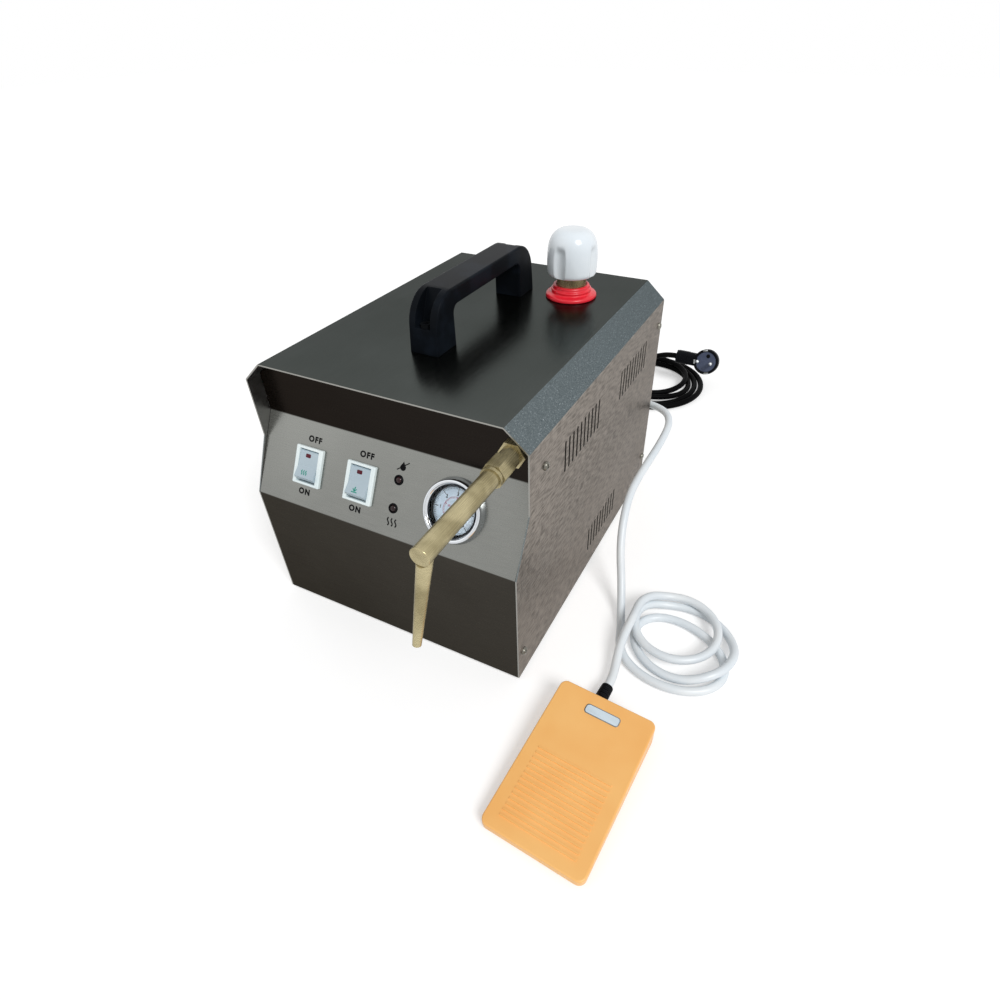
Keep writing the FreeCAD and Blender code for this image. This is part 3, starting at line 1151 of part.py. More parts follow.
def make_pedal_base():
    """The foot switch's base: a tray on rubber pads that carries the pin, spring and switch."""
    def tray(inset, floor, rear, front):
        return [(f"base_rear - {inset}", floor), (f"base_rear - {inset}", rear),
                (f"base_front + {inset}", front), (f"base_front + {inset}", floor)]
    outer = rounded(prism("yz", tray("0", "pedal_pad", "pedal_base_rear", "pedal_base_front"),
                          "-base_half", "base_half"), "pedal_corner - pedal_wall", along(Z_AXIS))
    hollow = prism("yz", tray("pedal_base_wall", "base_floor", "pedal_base_rear + 1", "pedal_base_rear + 1"),
                   "-base_half + pedal_base_wall", "base_half - pedal_base_wall")
    pin_hole = rod("pedal_pin_radius + seat_play", "pedal_width", "-pedal_half", "hinge_y",
                   "pedal_hinge_rise", "right")
    cord_hole = rod("relief_radius - relief_groove + seat_play", "pedal_base_wall + 2", "relief_across",
                    "base_rear - pedal_base_wall - 1", "relief_rise", "rear")
    part("pedal_base", on_pedal(cut(outer, hollow, pin_hole, cord_hole)))
    pads = [rod("pedal_pad_radius", "pedal_pad", f"{side} (base_half - pedal_pad_inset)", y)
            for side in "-+" for y in ("base_rear - pedal_pad_inset", "base_front + pedal_pad_inset")]
    part("pedal_pads", on_pedal(group(pads)))
    pin = rod("pedal_pin_radius", "2 * base_half - 0.4", "0.2 - base_half", "hinge_y", "pedal_hinge_rise", "right")
    part("pedal_pin", on_pedal(group([pin])))
    micro = fuse(block("-micro_width / 2", "micro_width / 2", "-micro_y - micro_length", "-micro_y", "base_floor",
                       "base_floor + micro_height"),
                 rod("1.4", "2", 0, "-micro_y - 5", "base_floor + micro_height - 0.5"))
    part("pedal_microswitch", on_pedal(micro))
    inner, outside = "(base_rear - pedal_base_wall)", "(relief_length + base_rear)"
    relief = fuse(rod("relief_radius", "2", "relief_across", f"{inner} - 2", "relief_rise", "rear"),
                  rod("relief_radius - relief_groove", "pedal_base_wall + 1", "relief_across",
                      f"{inner} - 0.5", "relief_rise", "rear"),
                  taper("relief_radius", "relief_radius - 0.8", "relief_length - base_rear", "relief_across",
                        "base_rear", "relief_rise", "rear"))
    passage = rod("cord_radius + seat_play", "relief_length + 20", "relief_across", f"{inner} - 4",
                  "relief_rise", "rear")
    part("pedal_relief", on_pedal(cut(relief, passage)))


def make_pedal_spring():
    """A compression spring between the base and the treadle."""
    under = "(pedal_rear_height - pedal_wall - (spring_y + spring_radius + 1) * pedal_grade)"
    wire, foot = value("spring_wire"), value("base_floor + spring_wire")
    reach = value(f"{under} - spring_wire") - foot
    path = Part.makeHelix(reach / value("spring_turns"), reach, value("spring_radius"))
    start = path.Vertexes[0].Point
    section = Part.Wire(Part.Circle(start, Y_AXIS, wire).toShape())
    spring = doc.addObject("Part::Feature", "helix")
    spring.Shape = path.makePipeShell([section], True, True)
    spring.Placement = Placement(point("spring_x", "-spring_y", "base_floor + spring_wire"), Rotation())
    part("pedal_spring", on_pedal(group([spring])))


def check():
    """Stop before anything is written if an object failed or a piece is no valid solid."""
    failed = [item.Name for item in doc.Objects if {"Invalid", "Error"} & set(item.State)]
    if failed:
        raise RuntimeError(f"failed objects: {failed}")
    for thing in parts:
        shape = thing.Shape
        if shape.isNull() or not shape.isValid() or not shape.Solids:
            raise RuntimeError(f"{thing.Label} is not a valid solid")


def write():
    os.makedirs("parts", exist_ok=True)
    for thing in parts:
        thing.Shape.exportStep(f"parts/{thing.Label}.step")
        box = thing.Shape.BoundBox
        print(f"{thing.Label}: {len(thing.Shape.Solids)} solids, {thing.Shape.Volume / 1000:.1f} cm3, "
              f"x {box.XMin:.1f}..{box.XMax:.1f}, y {box.YMin:.1f}..{box.YMax:.1f}, "
              f"z {box.ZMin:.1f}..{box.ZMax:.1f}")


make_cover()
make_front_panel()
make_rear_panel()
make_base_tray()
make_feet()
make_cover_screws()
make_handle()
make_boiler()
make_saddles()
make_heater()
make_filler()
make_cap()
make_nozzle()
make_steam_line()
make_boiler_fittings()
make_gauge()
make_switch("power", "power_across")
make_switch("heat", "heat_across")
make_lamps()
make_electrics()
make_cords()
make_plug()
make_pedal_top()
make_pedal_base()
make_pedal_spring()
doc.recompute()
check()
write()
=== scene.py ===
"""Jewelry steam cleaner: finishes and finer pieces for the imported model, in its frame and in metres."""

import math

import bmesh
import bpy
from mathutils import Matrix, Vector


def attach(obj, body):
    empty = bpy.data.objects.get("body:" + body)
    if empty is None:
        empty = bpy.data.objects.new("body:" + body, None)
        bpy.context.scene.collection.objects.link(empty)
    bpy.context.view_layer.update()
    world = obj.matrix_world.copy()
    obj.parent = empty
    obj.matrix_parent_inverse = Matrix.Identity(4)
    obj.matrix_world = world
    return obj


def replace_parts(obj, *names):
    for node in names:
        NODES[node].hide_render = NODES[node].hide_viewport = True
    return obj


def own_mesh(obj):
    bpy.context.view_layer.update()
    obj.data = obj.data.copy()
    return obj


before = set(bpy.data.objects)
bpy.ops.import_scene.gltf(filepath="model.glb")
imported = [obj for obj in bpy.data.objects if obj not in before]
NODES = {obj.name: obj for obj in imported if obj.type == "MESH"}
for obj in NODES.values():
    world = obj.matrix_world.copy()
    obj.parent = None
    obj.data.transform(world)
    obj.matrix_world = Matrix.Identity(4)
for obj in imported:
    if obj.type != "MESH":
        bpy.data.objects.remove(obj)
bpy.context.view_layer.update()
MM = 0.001


# ---------------------------------------------------------------- helpers

def mm(x, y, z):
    return Vector((x, y, z)) * MM


def srgb(text):
    """A colour written as six hex digits, in linear light."""
    values = [int(text[i:i + 2], 16) / 255 for i in (0, 2, 4)]
    return (*(v / 12.92 if v <= 0.04045 else ((v + 0.055) / 1.055) ** 2.4 for v in values), 1)


class Shader:
    """A principled material with short calls for the nodes that feed it."""

    def __init__(self, name, color, roughness=0.5, metallic=0.0, **sockets):
        self.material = bpy.data.materials.new(name)
        self.material.use_nodes = True
        self.tree = self.material.node_tree
        self.principled = self.tree.nodes["Principled BSDF"]
        self.set("Base Color", srgb(color) if isinstance(color, str) else color)
        self.set("Roughness", roughness)
        self.set("Metallic", metallic)
        for socket, value in sockets.items():
            self.set(socket.replace("_", " "), value)

    def set(self, socket, value):
        self.principled.inputs[socket].default_value = value

    def node(self, kind, **settings):
        node = self.tree.nodes.new("ShaderNode" + kind)
        for key, value in settings.items():
            setattr(node, key, value)
        return node

    def link(self, source, target):
        self.tree.links.new(source, target)

    def give(self, socket, value):
        """Feed an input from another node, or set it to a plain value."""
        if isinstance(value, bpy.types.NodeSocket):
            self.link(value, socket)
        elif isinstance(value, str):
            socket.default_value = srgb(value)
        else:
            socket.default_value = value

    def place(self, scale=(1, 1, 1)):
        """Coordinates of the object's own frame, scaled."""
        coordinates = self.node("TexCoord")
        mapping = self.node("Mapping")
        mapping.inputs["Scale"].default_value = scale
        self.link(coordinates.outputs["Object"], mapping.inputs["Vector"])
        return mapping.outputs["Vector"]

    def axes(self, vector):
        split = self.node("SeparateXYZ")
        self.link(vector, split.inputs[0])
        return split.outputs[0], split.outputs[1], split.outputs[2]

    def noise(self, vector, scale, detail=3, rough=0.55):
        noise = self.node("TexNoise")
        noise.inputs["Scale"].default_value = scale
        noise.inputs["Detail"].default_value = detail
        noise.inputs["Roughness"].default_value = rough
        self.link(vector, noise.inputs["Vector"])
        return noise.outputs["Fac"]

    def span(self, value, low, high):
        """0 at low and 1 at high, smooth in between."""
        node = self.node("MapRange", interpolation_type="SMOOTHSTEP")
        node.inputs["From Min"].default_value = low
        node.inputs["From Max"].default_value = high
        self.link(value, node.inputs["Value"])
        return node.outputs[0]

    def calc(self, operation, a, b=0.0):
        node = self.node("Math", operation=operation)
        self.give(node.inputs[0], a)
        self.give(node.inputs[1], b)
        return node.outputs[0]

    def ramp(self, factor, *stops):
        """Stops are pairs of position and grey value or hex colour."""
        ramp = self.node("ValToRGB")
        elements = ramp.color_ramp.elements
        while len(elements) < len(stops):
            elements.new(0.5)
        for element, (position, value) in zip(elements, stops):
            element.position = position
            element.color = srgb(value) if isinstance(value, str) else (value, value, value, 1)
        self.link(factor, ramp.inputs["Fac"])
        return ramp.outputs["Color"]

    def mix(self, factor, a, b, blend="MIX"):
        mix = self.node("Mix", data_type="RGBA", blend_type=blend)
        for socket, value in ((0, factor), (6, a), (7, b)):
            self.give(mix.inputs[socket], value)
        return mix.outputs[2]

    def bump(self, height, strength, distance=0.0002, normal=None):
        bump = self.node("Bump")
        bump.inputs["Strength"].default_value = strength
        bump.inputs["Distance"].default_value = distance
        self.link(height, bump.inputs["Height"])
        if normal is not None:
            self.link(normal, bump.inputs["Normal"])
        return bump.outputs["Normal"]

    def feed(self, socket, source):
        self.link(source, self.principled.inputs[socket])


def finish(shader, *nodes):
    """Give CAD nodes a material."""
    for node in nodes:
        piece = NODES[node]
        piece.data.materials.clear()
        piece.data.materials.append(shader.material)


def piece_of(name, mesh, shader, body, angle=35):
    """A new piece that rides on a body; faces meet softly up to an angle."""
    mesh.shade_smooth()
    mesh.set_sharp_from_angle(angle=math.radians(angle))
    mesh.materials.append(shader.material)
    piece = bpy.data.objects.new(name, mesh)
    bpy.context.scene.collection.objects.link(piece)
    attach(piece, body)
    return piece


def mesh_of(name, form):
    mesh = bpy.data.meshes.new(name)
    bmesh.ops.recalc_face_normals(form, faces=form.faces)
    form.to_mesh(mesh)
    form.free()
    return mesh


def eased(points, parts=5):
    """A smooth line through all the points."""
    line = []
    for i in range(len(points) - 1):
        near = [points[min(max(k, 0), len(points) - 1)] for k in (i - 1, i, i + 1, i + 2)]
        for step in range(parts):
            t = step / parts
            line.append(tuple(0.5 * (2 * b + (c - a) * t + (2 * a - 5 * b + 4 * c - d) * t * t
                                     + (3 * b - a - 3 * c + d) * t ** 3) for a, b, c, d in zip(*near)))
    return line + [points[-1]]


def lathe(name, profile, at, shader, body, steps=96, closed=False, angle=35):
    """A surface turned about the matrix's own Z; the profile is (radius, height) in millimetres."""
    form = bmesh.new()
    rings = []
    for radius, height in profile:
        count = 1 if radius < 1e-6 else steps
        rings.append([form.verts.new(at @ mm(radius * math.cos(math.tau * k / steps),
                                             radius * math.sin(math.tau * k / steps), height))
                      for k in range(count)])
    for low, high in zip(rings, rings[1:] + (rings[:1] if closed else [])):
        for k in range(steps):
            after = (k + 1) % steps
            corners = [low[k % len(low)], low[after % len(low)], high[after % len(high)], high[k % len(high)]]
            corners = list(dict.fromkeys(corners))
            if len(corners) > 2:
                form.faces.new(corners)
    return piece_of(name, mesh_of(name, form), shader, body, angle)


def slab(name, outline, low, high, at, shader, body, edge=0.0):
    """A flat plate from an outline in the matrix's XY plane; its upper edge may be rounded."""
    form = bmesh.new()
    floor = [form.verts.new(at @ mm(x, y, low)) for x, y in outline]
    roof = [form.verts.new(at @ mm(x, y, high)) for x, y in outline]
    form.faces.new(floor[::-1])
    lid = form.faces.new(roof)
    for k in range(len(outline)):
        after = (k + 1) % len(outline)
        form.faces.new((floor[k], floor[after], roof[after], roof[k]))
    if edge:
        bmesh.ops.bevel(form, geom=list(lid.edges), offset=edge * MM, segments=3, profile=0.5,
                        affect="EDGES")
    return piece_of(name, mesh_of(name, form), shader, body)


def oblong(width, height, corner, parts=6):
    """A rectangle with round corners about the origin."""
    points = []
    for quarter, (sx, sy) in enumerate(((1, 1), (-1, 1), (-1, -1), (1, -1))):
        for k in range(parts + 1):
            turn = math.pi / 2 * (quarter + k / parts)
            points.append((sx * (width / 2 - corner) + corner * math.cos(turn),
                           sy * (height / 2 - corner) + corner * math.sin(turn)))
    return points


def stroke(points, width):
    """The outline of an even stroke along a line of points."""
    left, right = [], []
    for i, (x, y) in enumerate(points):
        (ax, ay), (bx, by) = points[max(i - 1, 0)], points[min(i + 1, len(points) - 1)]
        length = math.hypot(bx - ax, by - ay)
        nx, ny = (ay - by) / length * width / 2, (bx - ax) / length * width / 2
        left.append((x + nx, y + ny))
        right.append((x - nx, y - ny))
    return left + right[::-1]


def moved(outline, dx, dy):
    return [(x + dx, y + dy) for x, y in outline]


def words(name, text, size, at, shader, body, weight=0.0, gap=1.0):
    """Printed words or numbers, 0.05 mm to each side of the matrix's XY plane."""
    curve = bpy.data.curves.new(name, "FONT")
    curve.body = text
    curve.size = size * MM
    curve.extrude = 0.05 * MM
    curve.offset = weight * MM
    curve.space_character = gap
    curve.align_x = "CENTER"
    curve.align_y = "CENTER"
    curve.materials.append(shader.material)
    piece = bpy.data.objects.new(name, curve)
    piece.matrix_world = at
    bpy.context.scene.collection.objects.link(piece)
    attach(piece, body)
    return piece


# ---------------------------------------------------------------- places on the machine

SLANT = math.atan(37.7 / 65.5)
FRONT_Y, CONSOLE_FOOT = -168.75, 124
COVER_HALF = 130


def console(across, up, out=0.0):
    """A frame on the console: X to the right, Y up the slope, Z outward."""
    rise = Vector((0, math.sin(SLANT), math.cos(SLANT)))
    outward = Vector((0, -math.cos(SLANT), math.sin(SLANT)))
    spot = mm(across, FRONT_Y, CONSOLE_FOOT) + rise * up * MM + outward * out * MM
    axes = Matrix((Vector((1, 0, 0)), rise, outward)).transposed().to_4x4()
    return Matrix.Translation(spot) @ axes


def standing(x, y, z, turn=0.0):
    return Matrix.Translation(mm(x, y, z)) @ Matrix.Rotation(math.radians(turn), 4, "Z")


PEDAL = standing(211.8, -169, 0, -4.4)
PLUG = Matrix.Translation(mm(142, 424, 46)) @ Matrix.Rotation(math.radians(70), 4, "X")
FILLER = (56, 97.25)


# ---------------------------------------------------------------- materials

def moulded(name, color, darker, roughness, grain=900, depth=0.25, **sockets):
    """Moulded plastic or rubber: a fine grain, with slow changes in tone."""
    s = Shader(name, color, roughness, **sockets)
    place = s.place()
    tone = s.noise(place, 22, 2)
    s.feed("Base Color", s.mix(s.ramp(tone, (0.3, 0.0), (0.75, 1.0)), color, darker))
    fine = s.noise(place, grain, 4, 0.6)
    s.feed("Roughness", s.ramp(fine, (0.2, roughness * 0.85), (0.8, min(1, roughness * 1.2))))
    s.feed("Normal", s.bump(fine, depth, 0.00015))
    return s


def metal(name, color, darker, roughness, grain=700, stretch=(1, 1, 1), depth=0.12, **sockets):
    """Turned, drawn or cast metal: tool marks drawn out along one way, and slow stains."""
    s = Shader(name, color, roughness, 1.0, **sockets)
    stain = s.noise(s.place(), 45, 3)
    marks = s.noise(s.place(stretch), grain, 3, 0.7)
    tone = s.mix(s.ramp(stain, (0.35, 0.0), (0.7, 1.0)), color, darker)
    s.feed("Base Color", s.mix(0.35, tone, s.ramp(marks, (0.3, 0.6), (0.7, 1.0)), "MULTIPLY"))
    s.feed("Roughness", s.ramp(marks, (0.2, roughness * 0.8), (0.8, roughness * 1.35)))
    s.feed("Normal", s.bump(marks, depth, 0.0001))
    return s


def cover_steel():
    """Embossed stainless sheet: satin roof, grained chamfers, linen sides, plain inner faces; the dark roof and the
    pale sides are painted reflections on the one sheet.
    """
    s = Shader("cover_steel", "6c6c68", 0.26, 1.0, Specular_Tint=(0.45, 0.45, 0.45, 1))
    place = s.place()
    x = s.axes(place)[0]
    nx, _, nz = s.axes(s.node("NewGeometry").outputs["Normal"])
    across = s.calc("ABSOLUTE", nx)
    slow = s.noise(place, 9, 2)
    # Painted reflection: the roof's dark tones stand in for dark surroundings mirrored in the sheet; the brushing is
    # the sheet's own.
    roof = s.mix(s.calc("MULTIPLY", s.span(slow, 0.4, 0.65), 0.35), "575b59", "4b4f4c")
    brushed = s.noise(s.place((1, 0.03, 1)), 1500, 2, 0.8)
    roof = s.mix(0.22, roof, s.ramp(brushed, (0.3, 0.55), (0.7, 1.0)), "MULTIPLY")
    grains = s.noise(place, 900, 4, 0.75)
    chamfer = s.mix(0.8, "727c7f", s.ramp(grains, (0.32, 0.35), (0.5, 0.8), (0.66, 1.0)), "MULTIPLY")
    chamfer = s.mix(s.span(grains, 0.6, 0.7), chamfer, "c9d0d6")
    level = s.noise(s.place((1, 110, 760)), 1, 2, 0.4)
    upright = s.noise(s.place((1, 760, 110)), 1, 2, 0.4)
    weave = s.mix(0.22, level, upright)
    # Painted reflection: the sides are paler than the roof and chamfers, as if mirroring brighter surroundings; the
    # weave is the sheet's own pattern.
    side = s.mix(s.calc("MULTIPLY", s.span(slow, 0.45, 0.62), 0.3), "a8a098", "9b9188")
    side = s.mix(0.9, side, s.ramp(weave, (0.38, 0.5), (0.58, 1.0)), "MULTIPLY")
    outer = s.span(s.calc("MULTIPLY", nx, x), 0.0, 0.02)
    sheet = s.mix(s.span(across, 0.2, 0.5), "9b9a95", s.mix(outer, "9a9a98", side))
    sloping = s.span(nz, 0.35, 0.5)
    level_face = s.span(nz, 0.86, 0.94)
    s.feed("Base Color", s.mix(level_face, s.mix(sloping, sheet, chamfer), roof))
    s.feed("Roughness", s.mix(level_face, s.mix(sloping, s.ramp(weave, (0.35, 0.28), (0.65, 0.4)),
                                                s.ramp(grains, (0.3, 0.45), (0.7, 0.3))),
                              s.ramp(brushed, (0.3, 0.18), (0.7, 0.25))))
    relief = s.mix(level_face, s.mix(sloping, weave, grains), s.calc("MULTIPLY", brushed, 0.25))
    s.feed("Normal", s.bump(relief, 0.4, 0.0003))
    return s


def panel_steel():
    """Polished stainless sheet of the front, with painted reflections: dark fascia, bright console, dark lower front.
    """
    s = Shader("panel_steel", "8d8c88", 0.28, 1.0, Specular_Tint=(0.4, 0.4, 0.4, 1))
    place = s.place()
    z = s.axes(place)[2]
    low_fold, high_fold = s.span(z, 0.1236, 0.1246), s.span(z, 0.1885, 0.1897)
    brushed = s.noise(s.place((0.04, 1, 1)), 1400, 3, 0.75)
    slow = s.noise(place, 14, 2)
    # Painted reflections: by height, the one sheet gets a dark fascia, a pale console and a dark lower front in place
    # of the room it mirrors.
    tone = s.mix(high_fold, s.mix(low_fold, "423f3a", "8a8b87"), "26221f")
    tone = s.mix(0.3, tone, s.ramp(brushed, (0.3, 0.6), (0.7, 1.0)), "MULTIPLY")
    tone = s.mix(0.3, tone, s.ramp(slow, (0.35, 0.75), (0.65, 1.0)), "MULTIPLY")
    s.feed("Base Color", tone)
    s.feed("Roughness", s.ramp(brushed, (0.3, 0.22), (0.7, 0.32)))
    s.feed("Normal", s.bump(brushed, 0.12, 0.0001))
    return s


def old_brass():
    """Turned brass with slow patches of tarnish."""
    s = Shader("old_brass", "b5aa80", 0.24, 0.6, Specular_Tint=(0.5, 0.5, 0.5, 1))
    place = s.place()
    tone = s.mix(s.span(s.noise(place, 35, 3), 0.4, 0.68), "c2b68f", "948966")
    marks = s.noise(s.place((1, 0.05, 1)), 1200, 3, 0.7)
    s.feed("Base Color", s.mix(0.35, tone, s.ramp(marks, (0.3, 0.6), (0.7, 1.0)), "MULTIPLY"))
    s.feed("Roughness", s.ramp(marks, (0.2, 0.2), (0.8, 0.34)))
    s.feed("Normal", s.bump(marks, 0.12, 0.0001))
    return s


def polished_chrome():
    """Chrome of the gauge ring."""
    s = Shader("polished_chrome", "d3d6da", 0.1, 1.0, Specular_Tint=(0.6, 0.6, 0.6, 1))
    place = s.place()
    s.feed("Base Color", s.mix(s.noise(place, 60, 2), "dcdfe3", "c6cace"))
    fine = s.noise(place, 700, 2)
    s.feed("Roughness", s.ramp(fine, (0.3, 0.07), (0.7, 0.14)))
    s.feed("Normal", s.bump(fine, 0.03, 0.0001))
    return s


def black_handle():
    """Black polyamide with softly rounded edges."""
    s = Shader("handle_black", "12151b", 0.4, Specular_IOR_Level=0.03)
    place = s.place()
    round_edge = s.node("Bevel", samples=4)
    round_edge.inputs["Radius"].default_value = 0.0009
    s.feed("Base Color", s.mix(s.span(s.noise(place, 30, 3), 0.45, 0.65), "0d1014", "151a21"))
    fine = s.noise(place, 1300, 3, 0.6)
    s.feed("Roughness", s.ramp(fine, (0.2, 0.28), (0.8, 0.4)))
    s.feed("Normal", s.bump(fine, 0.1, 0.00015, round_edge.outputs["Normal"]))
    return s


def pedal_plastic():
    """Orange plastic with a fine grain."""
    s = Shader("pedal_orange", "f6bd76", 0.36)
    place = s.place()
    s.feed("Base Color", s.mix(s.span(s.noise(place, 22, 2), 0.3, 0.75), "fcc275", "f7b768"))
    fine = s.noise(place, 520, 4, 0.6)
    s.feed("Roughness", s.ramp(fine, (0.2, 0.3), (0.8, 0.42)))
    s.feed("Normal", s.bump(fine, 0.2, 0.00015))
    return s


def dial_face():
    s = Shader("dial_face", "dfeaf4", 0.45)
    place = s.place()
    s.feed("Base Color", s.mix(s.noise(place, 60, 2), "cfe2f3", "eef1f6"))
    s.feed("Normal", s.bump(s.noise(place, 900, 2), 0.05, 0.0001))
    return s


def clear_lens():
    s = Shader("clear_lens", "f4f8fa", 0.03, IOR=1.2, Transmission_Weight=1.0)
    s.feed("Normal", s.bump(s.noise(s.place(), 40, 1), 0.02, 0.0001))
    return s


black_cord = moulded("black_cord", "0a0a0b", "060607", 0.42, 500, 0.15, Specular_IOR_Level=0.02)
white_cord = moulded("white_cord", "e9eef1", "dae3ea", 0.34, 500, 0.12)
black_plug = moulded("black_plug", "14161a", "0c0d10", 0.42, 800, 0.3, Specular_IOR_Level=0.06)
dark_plastic = moulded("dark_plastic", "101215", "0a0b0d", 0.45, 900, 0.3, Specular_IOR_Level=0.06)
white_gloss = moulded("white_gloss", "f1f6f9", "e6eef4", 0.16, 250, 0.04)
switch_white = moulded("switch_white", "eff8f8", "e0edef", 0.25, 700, 0.06)
key_white = moulded("key_white", "b4c4cc", "a6b7c2", 0.3, 700, 0.06)
red_rubber = moulded("red_rubber", "ee2436", "d5182b", 0.3, 400, 0.1)
black_rubber = moulded("black_rubber", "121314", "0b0c0d", 0.65, 600, 0.5, Specular_IOR_Level=0.15)
inner_plastic = moulded("inner_plastic", "23262b", "17191d", 0.5, 900, 0.3)
print_black = moulded("print_black", "0b0b0d", "121214", 0.6, 2000, 0.1, Specular_IOR_Level=0.05)
print_green = moulded("print_green", "189a86", "108372", 0.5, 2000, 0.1, Specular_IOR_Level=0.2)
print_red = moulded("print_red", "b0305a", "9a2448", 0.5, 2000, 0.1)
lamp_glass = moulded("lamp_glass", "2a1013", "180c0d", 0.15, 300, 0.05, Specular_IOR_Level=0.3)
window_red = moulded("window_red", "5e0b22", "470818", 0.2, 900, 0.1, Specular_IOR_Level=0.2)
# Chrome coloured near black: a painted dark reflection, used on the gauge's lip.
chrome_painted_dark = metal("chrome_painted_dark", "3a3d42", "1e2024", 0.16, 500, (1, 1, 1), 0.04)
screw_steel = metal("screw_steel", "6d6b64", "47453f", 0.28, 900, (1, 1, 1), 0.2)
brass, chrome, handle_black = old_brass(), polished_chrome(), black_handle()
pedal_orange = pedal_plastic()
cover_screw = metal("cover_screw", "8f8d84", "6d6b64", 0.28, 900, (1, 1, 1), 0.1)
boiler_steel = metal("boiler_steel", "a9a8a3", "8d8c86", 0.32, 600, (1, 0.05, 1), 0.1)
sheet_steel = metal("sheet_steel", "a4a29c", "9c9993", 0.3, 1400, (0.03, 1, 1), 0.12,
                    Specular_Tint=(0.5, 0.5, 0.5, 1))
nickel = metal("nickel", "dfe3e6", "c2c7cb", 0.18, 900, (1, 1, 1), 0.05)
cover_finish, panel_finish = cover_steel(), panel_steel()

finish(cover_finish, "cover")
finish(panel_finish, "front_panel")
finish(sheet_steel, "rear_panel", "base_tray")
finish(handle_black, "carry_handle")
finish(dark_plastic, "handle_screws", "gauge_case", "gauge_needle", "mains_gland", "pedal_gland", "lamp_sleeves")
finish(inner_plastic, "terminal_block", "relay", "valve_coil", "pressure_switch", "pedal_microswitch")
finish(black_rubber, "feet", "pedal_pads")
finish(switch_white, "power_switch", "heat_switch")
finish(key_white, "power_rocker", "heat_rocker")
finish(pedal_orange, "pedal_top", "pedal_base")
finish(lamp_glass, "water_lamp", "steam_lamp")
finish(dial_face(), "gauge_dial")
finish(clear_lens(), "gauge_lens")
finish(brass, "nozzle_arm", "nozzle_fitting", "union_nut", "nozzle_tip", "fitting_locknut", "filler_neck",
       "steam_outlet", "level_probe", "safety_valve", "valve_body", "steam_pipe", "cap_stem")
finish(nickel, "plug_pins")
finish(red_rubber, "cap_washer")
finish(screw_steel, "foot_screws", "heater_bolts", "pedal_pin")
finish(boiler_steel, "boiler_shell", "boiler_saddles", "heater_flange", "heater_rod")


# ---------------------------------------------------------------- filler cap and gasket

def filler_cap():
    """A white knob with four finger flutes that run out below its domed crown."""
    profile = eased([(19.0, 0.0), (21.4, 0.35), (22.9, 2.6), (23.4, 7.0), (23.6, 13.0), (23.4, 20.0),
                     (22.5, 27.0), (20.6, 32.4), (17.4, 36.7), (13.6, 39.2), (9.8, 40.1), (5.0, 40.2)], 4)
    flute_turns = [math.radians(a) for a in (-98, -8, 82, 172)]
    flute_centre, flute_radius, flute_top, fade = 28, 8, 30.5, 8
    form = bmesh.new()
    steps, rings = 180, []
    for radius, height in profile:
        ring = []
        for k in range(steps):
            turn = math.tau * k / steps
            reach = radius
            for middle in flute_turns:
                off = (turn - middle + math.pi) % math.tau - math.pi
                inside = flute_radius ** 2 - (flute_centre * math.sin(off)) ** 2
                if abs(off) < 0.5 and inside > 0:
                    hollow = flute_centre * math.cos(off) - math.sqrt(inside)
                    share = min(1, max(0, (flute_top - height) / fade))
                    share = share * share * (3 - 2 * share)
                    sunk = max(0, radius - hollow - 0.1)
                    reach = radius - sunk * share
            ring.append(form.verts.new(mm(reach * math.cos(turn), reach * math.sin(turn), height)))
        rings.append(ring)
    for low, high in zip(rings, rings[1:]):
        for k in range(steps):
            after = (k + 1) % steps
            form.faces.new((low[k], low[after], high[after], high[k]))
    form.faces.new(rings[0][::-1])
    form.faces.new(rings[-1])
    bmesh.ops.transform(form, matrix=standing(*FILLER, 261.5), verts=form.verts)
    piece = piece_of("cap_knob", mesh_of("cap_knob", form), white_gloss, "cap", 50)
    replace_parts(piece, "filler_cap")


filler_cap()
gasket = lathe("gasket_rings", eased([(17.1, 0.0), (21.5, 0.05), (24.1, 0.3), (24.35, 1.6), (23.9, 2.9),
                                      (22.6, 3.8), (20.6, 4.3), (19.3, 4.9), (19.0, 5.9), (19.3, 6.9), (18.9, 7.8),
                                      (17.9, 8.5), (17.5, 9.4), (17.3, 10.5), (16.5, 11.4), (15.2, 11.5),
                                      (14.65, 10.8), (14.65, 5.0)]) + [(14.65, 4.1), (17.1, 4.1)],
               standing(*FILLER, 241), red_rubber, "casing", closed=True, angle=60)
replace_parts(gasket, "filler_gasket")


# ---------------------------------------------------------------- console

def mark_words():
    for name, text, across, up in (("off_mark_1", "OFF", -75.6, 60.0), ("on_mark_1", "ON", -79.6, 13.4),
                                   ("off_mark_2", "OFF", -21.2, 60.2), ("on_mark_2", "ON", -25.0, 13.3)):
        words(name, text, 6.9, console(across, up, 0.03), print_black, "casing",
              weight=0.34, gap=1.25)


def drop(size):
    """The outline of a water drop, its point up."""
    points, steps = [], 28
    for k in range(steps):
        turn = math.tau * k / steps
        sharp = max(0.0, math.sin(turn)) ** 3
        points.append((size * math.cos(turn) * (1 - sharp), size * (math.sin(turn) + 0.9 * sharp)))
    return points


def waves(width, height):
    """Three rising wisps of steam, as strokes."""
    parts = 10
    return [[(k * width / 2.6 + math.sin(step / parts * math.tau) * width * 0.09, (step / parts - 0.5) * height)
             for step in range(parts + 1)] for k in (-1, 0, 1)]


def lamp_signs():
    at = console(14.5, 60.0)
    slab("water_sign", moved(drop(2.7), 0, -0.8), 0.02, 0.07, at, print_black, "casing")
    slab("water_sign_bar", stroke([(-5.4, -3.6), (5.4, 4.0)], 0.85), 0.02, 0.09, at, print_black, "casing")
    for number, line in enumerate(waves(9.5, 6.6)):
        slab(f"steam_sign_{number}", stroke(line, 1.15), 0.02, 0.07, console(12.8, 12.8), print_black, "casing")


def lamp_rings():
    for name, across, up in (("water", 12.6, 48.4), ("steam", 11.9, 24.5)):
        lathe(f"{name}_lamp_ring", [(3.0, 0.02), (4.3, 0.02), (4.2, 0.5), (3.7, 0.9), (3.1, 0.8)],
              console(across, up), dark_plastic, "casing", steps=40, closed=True)


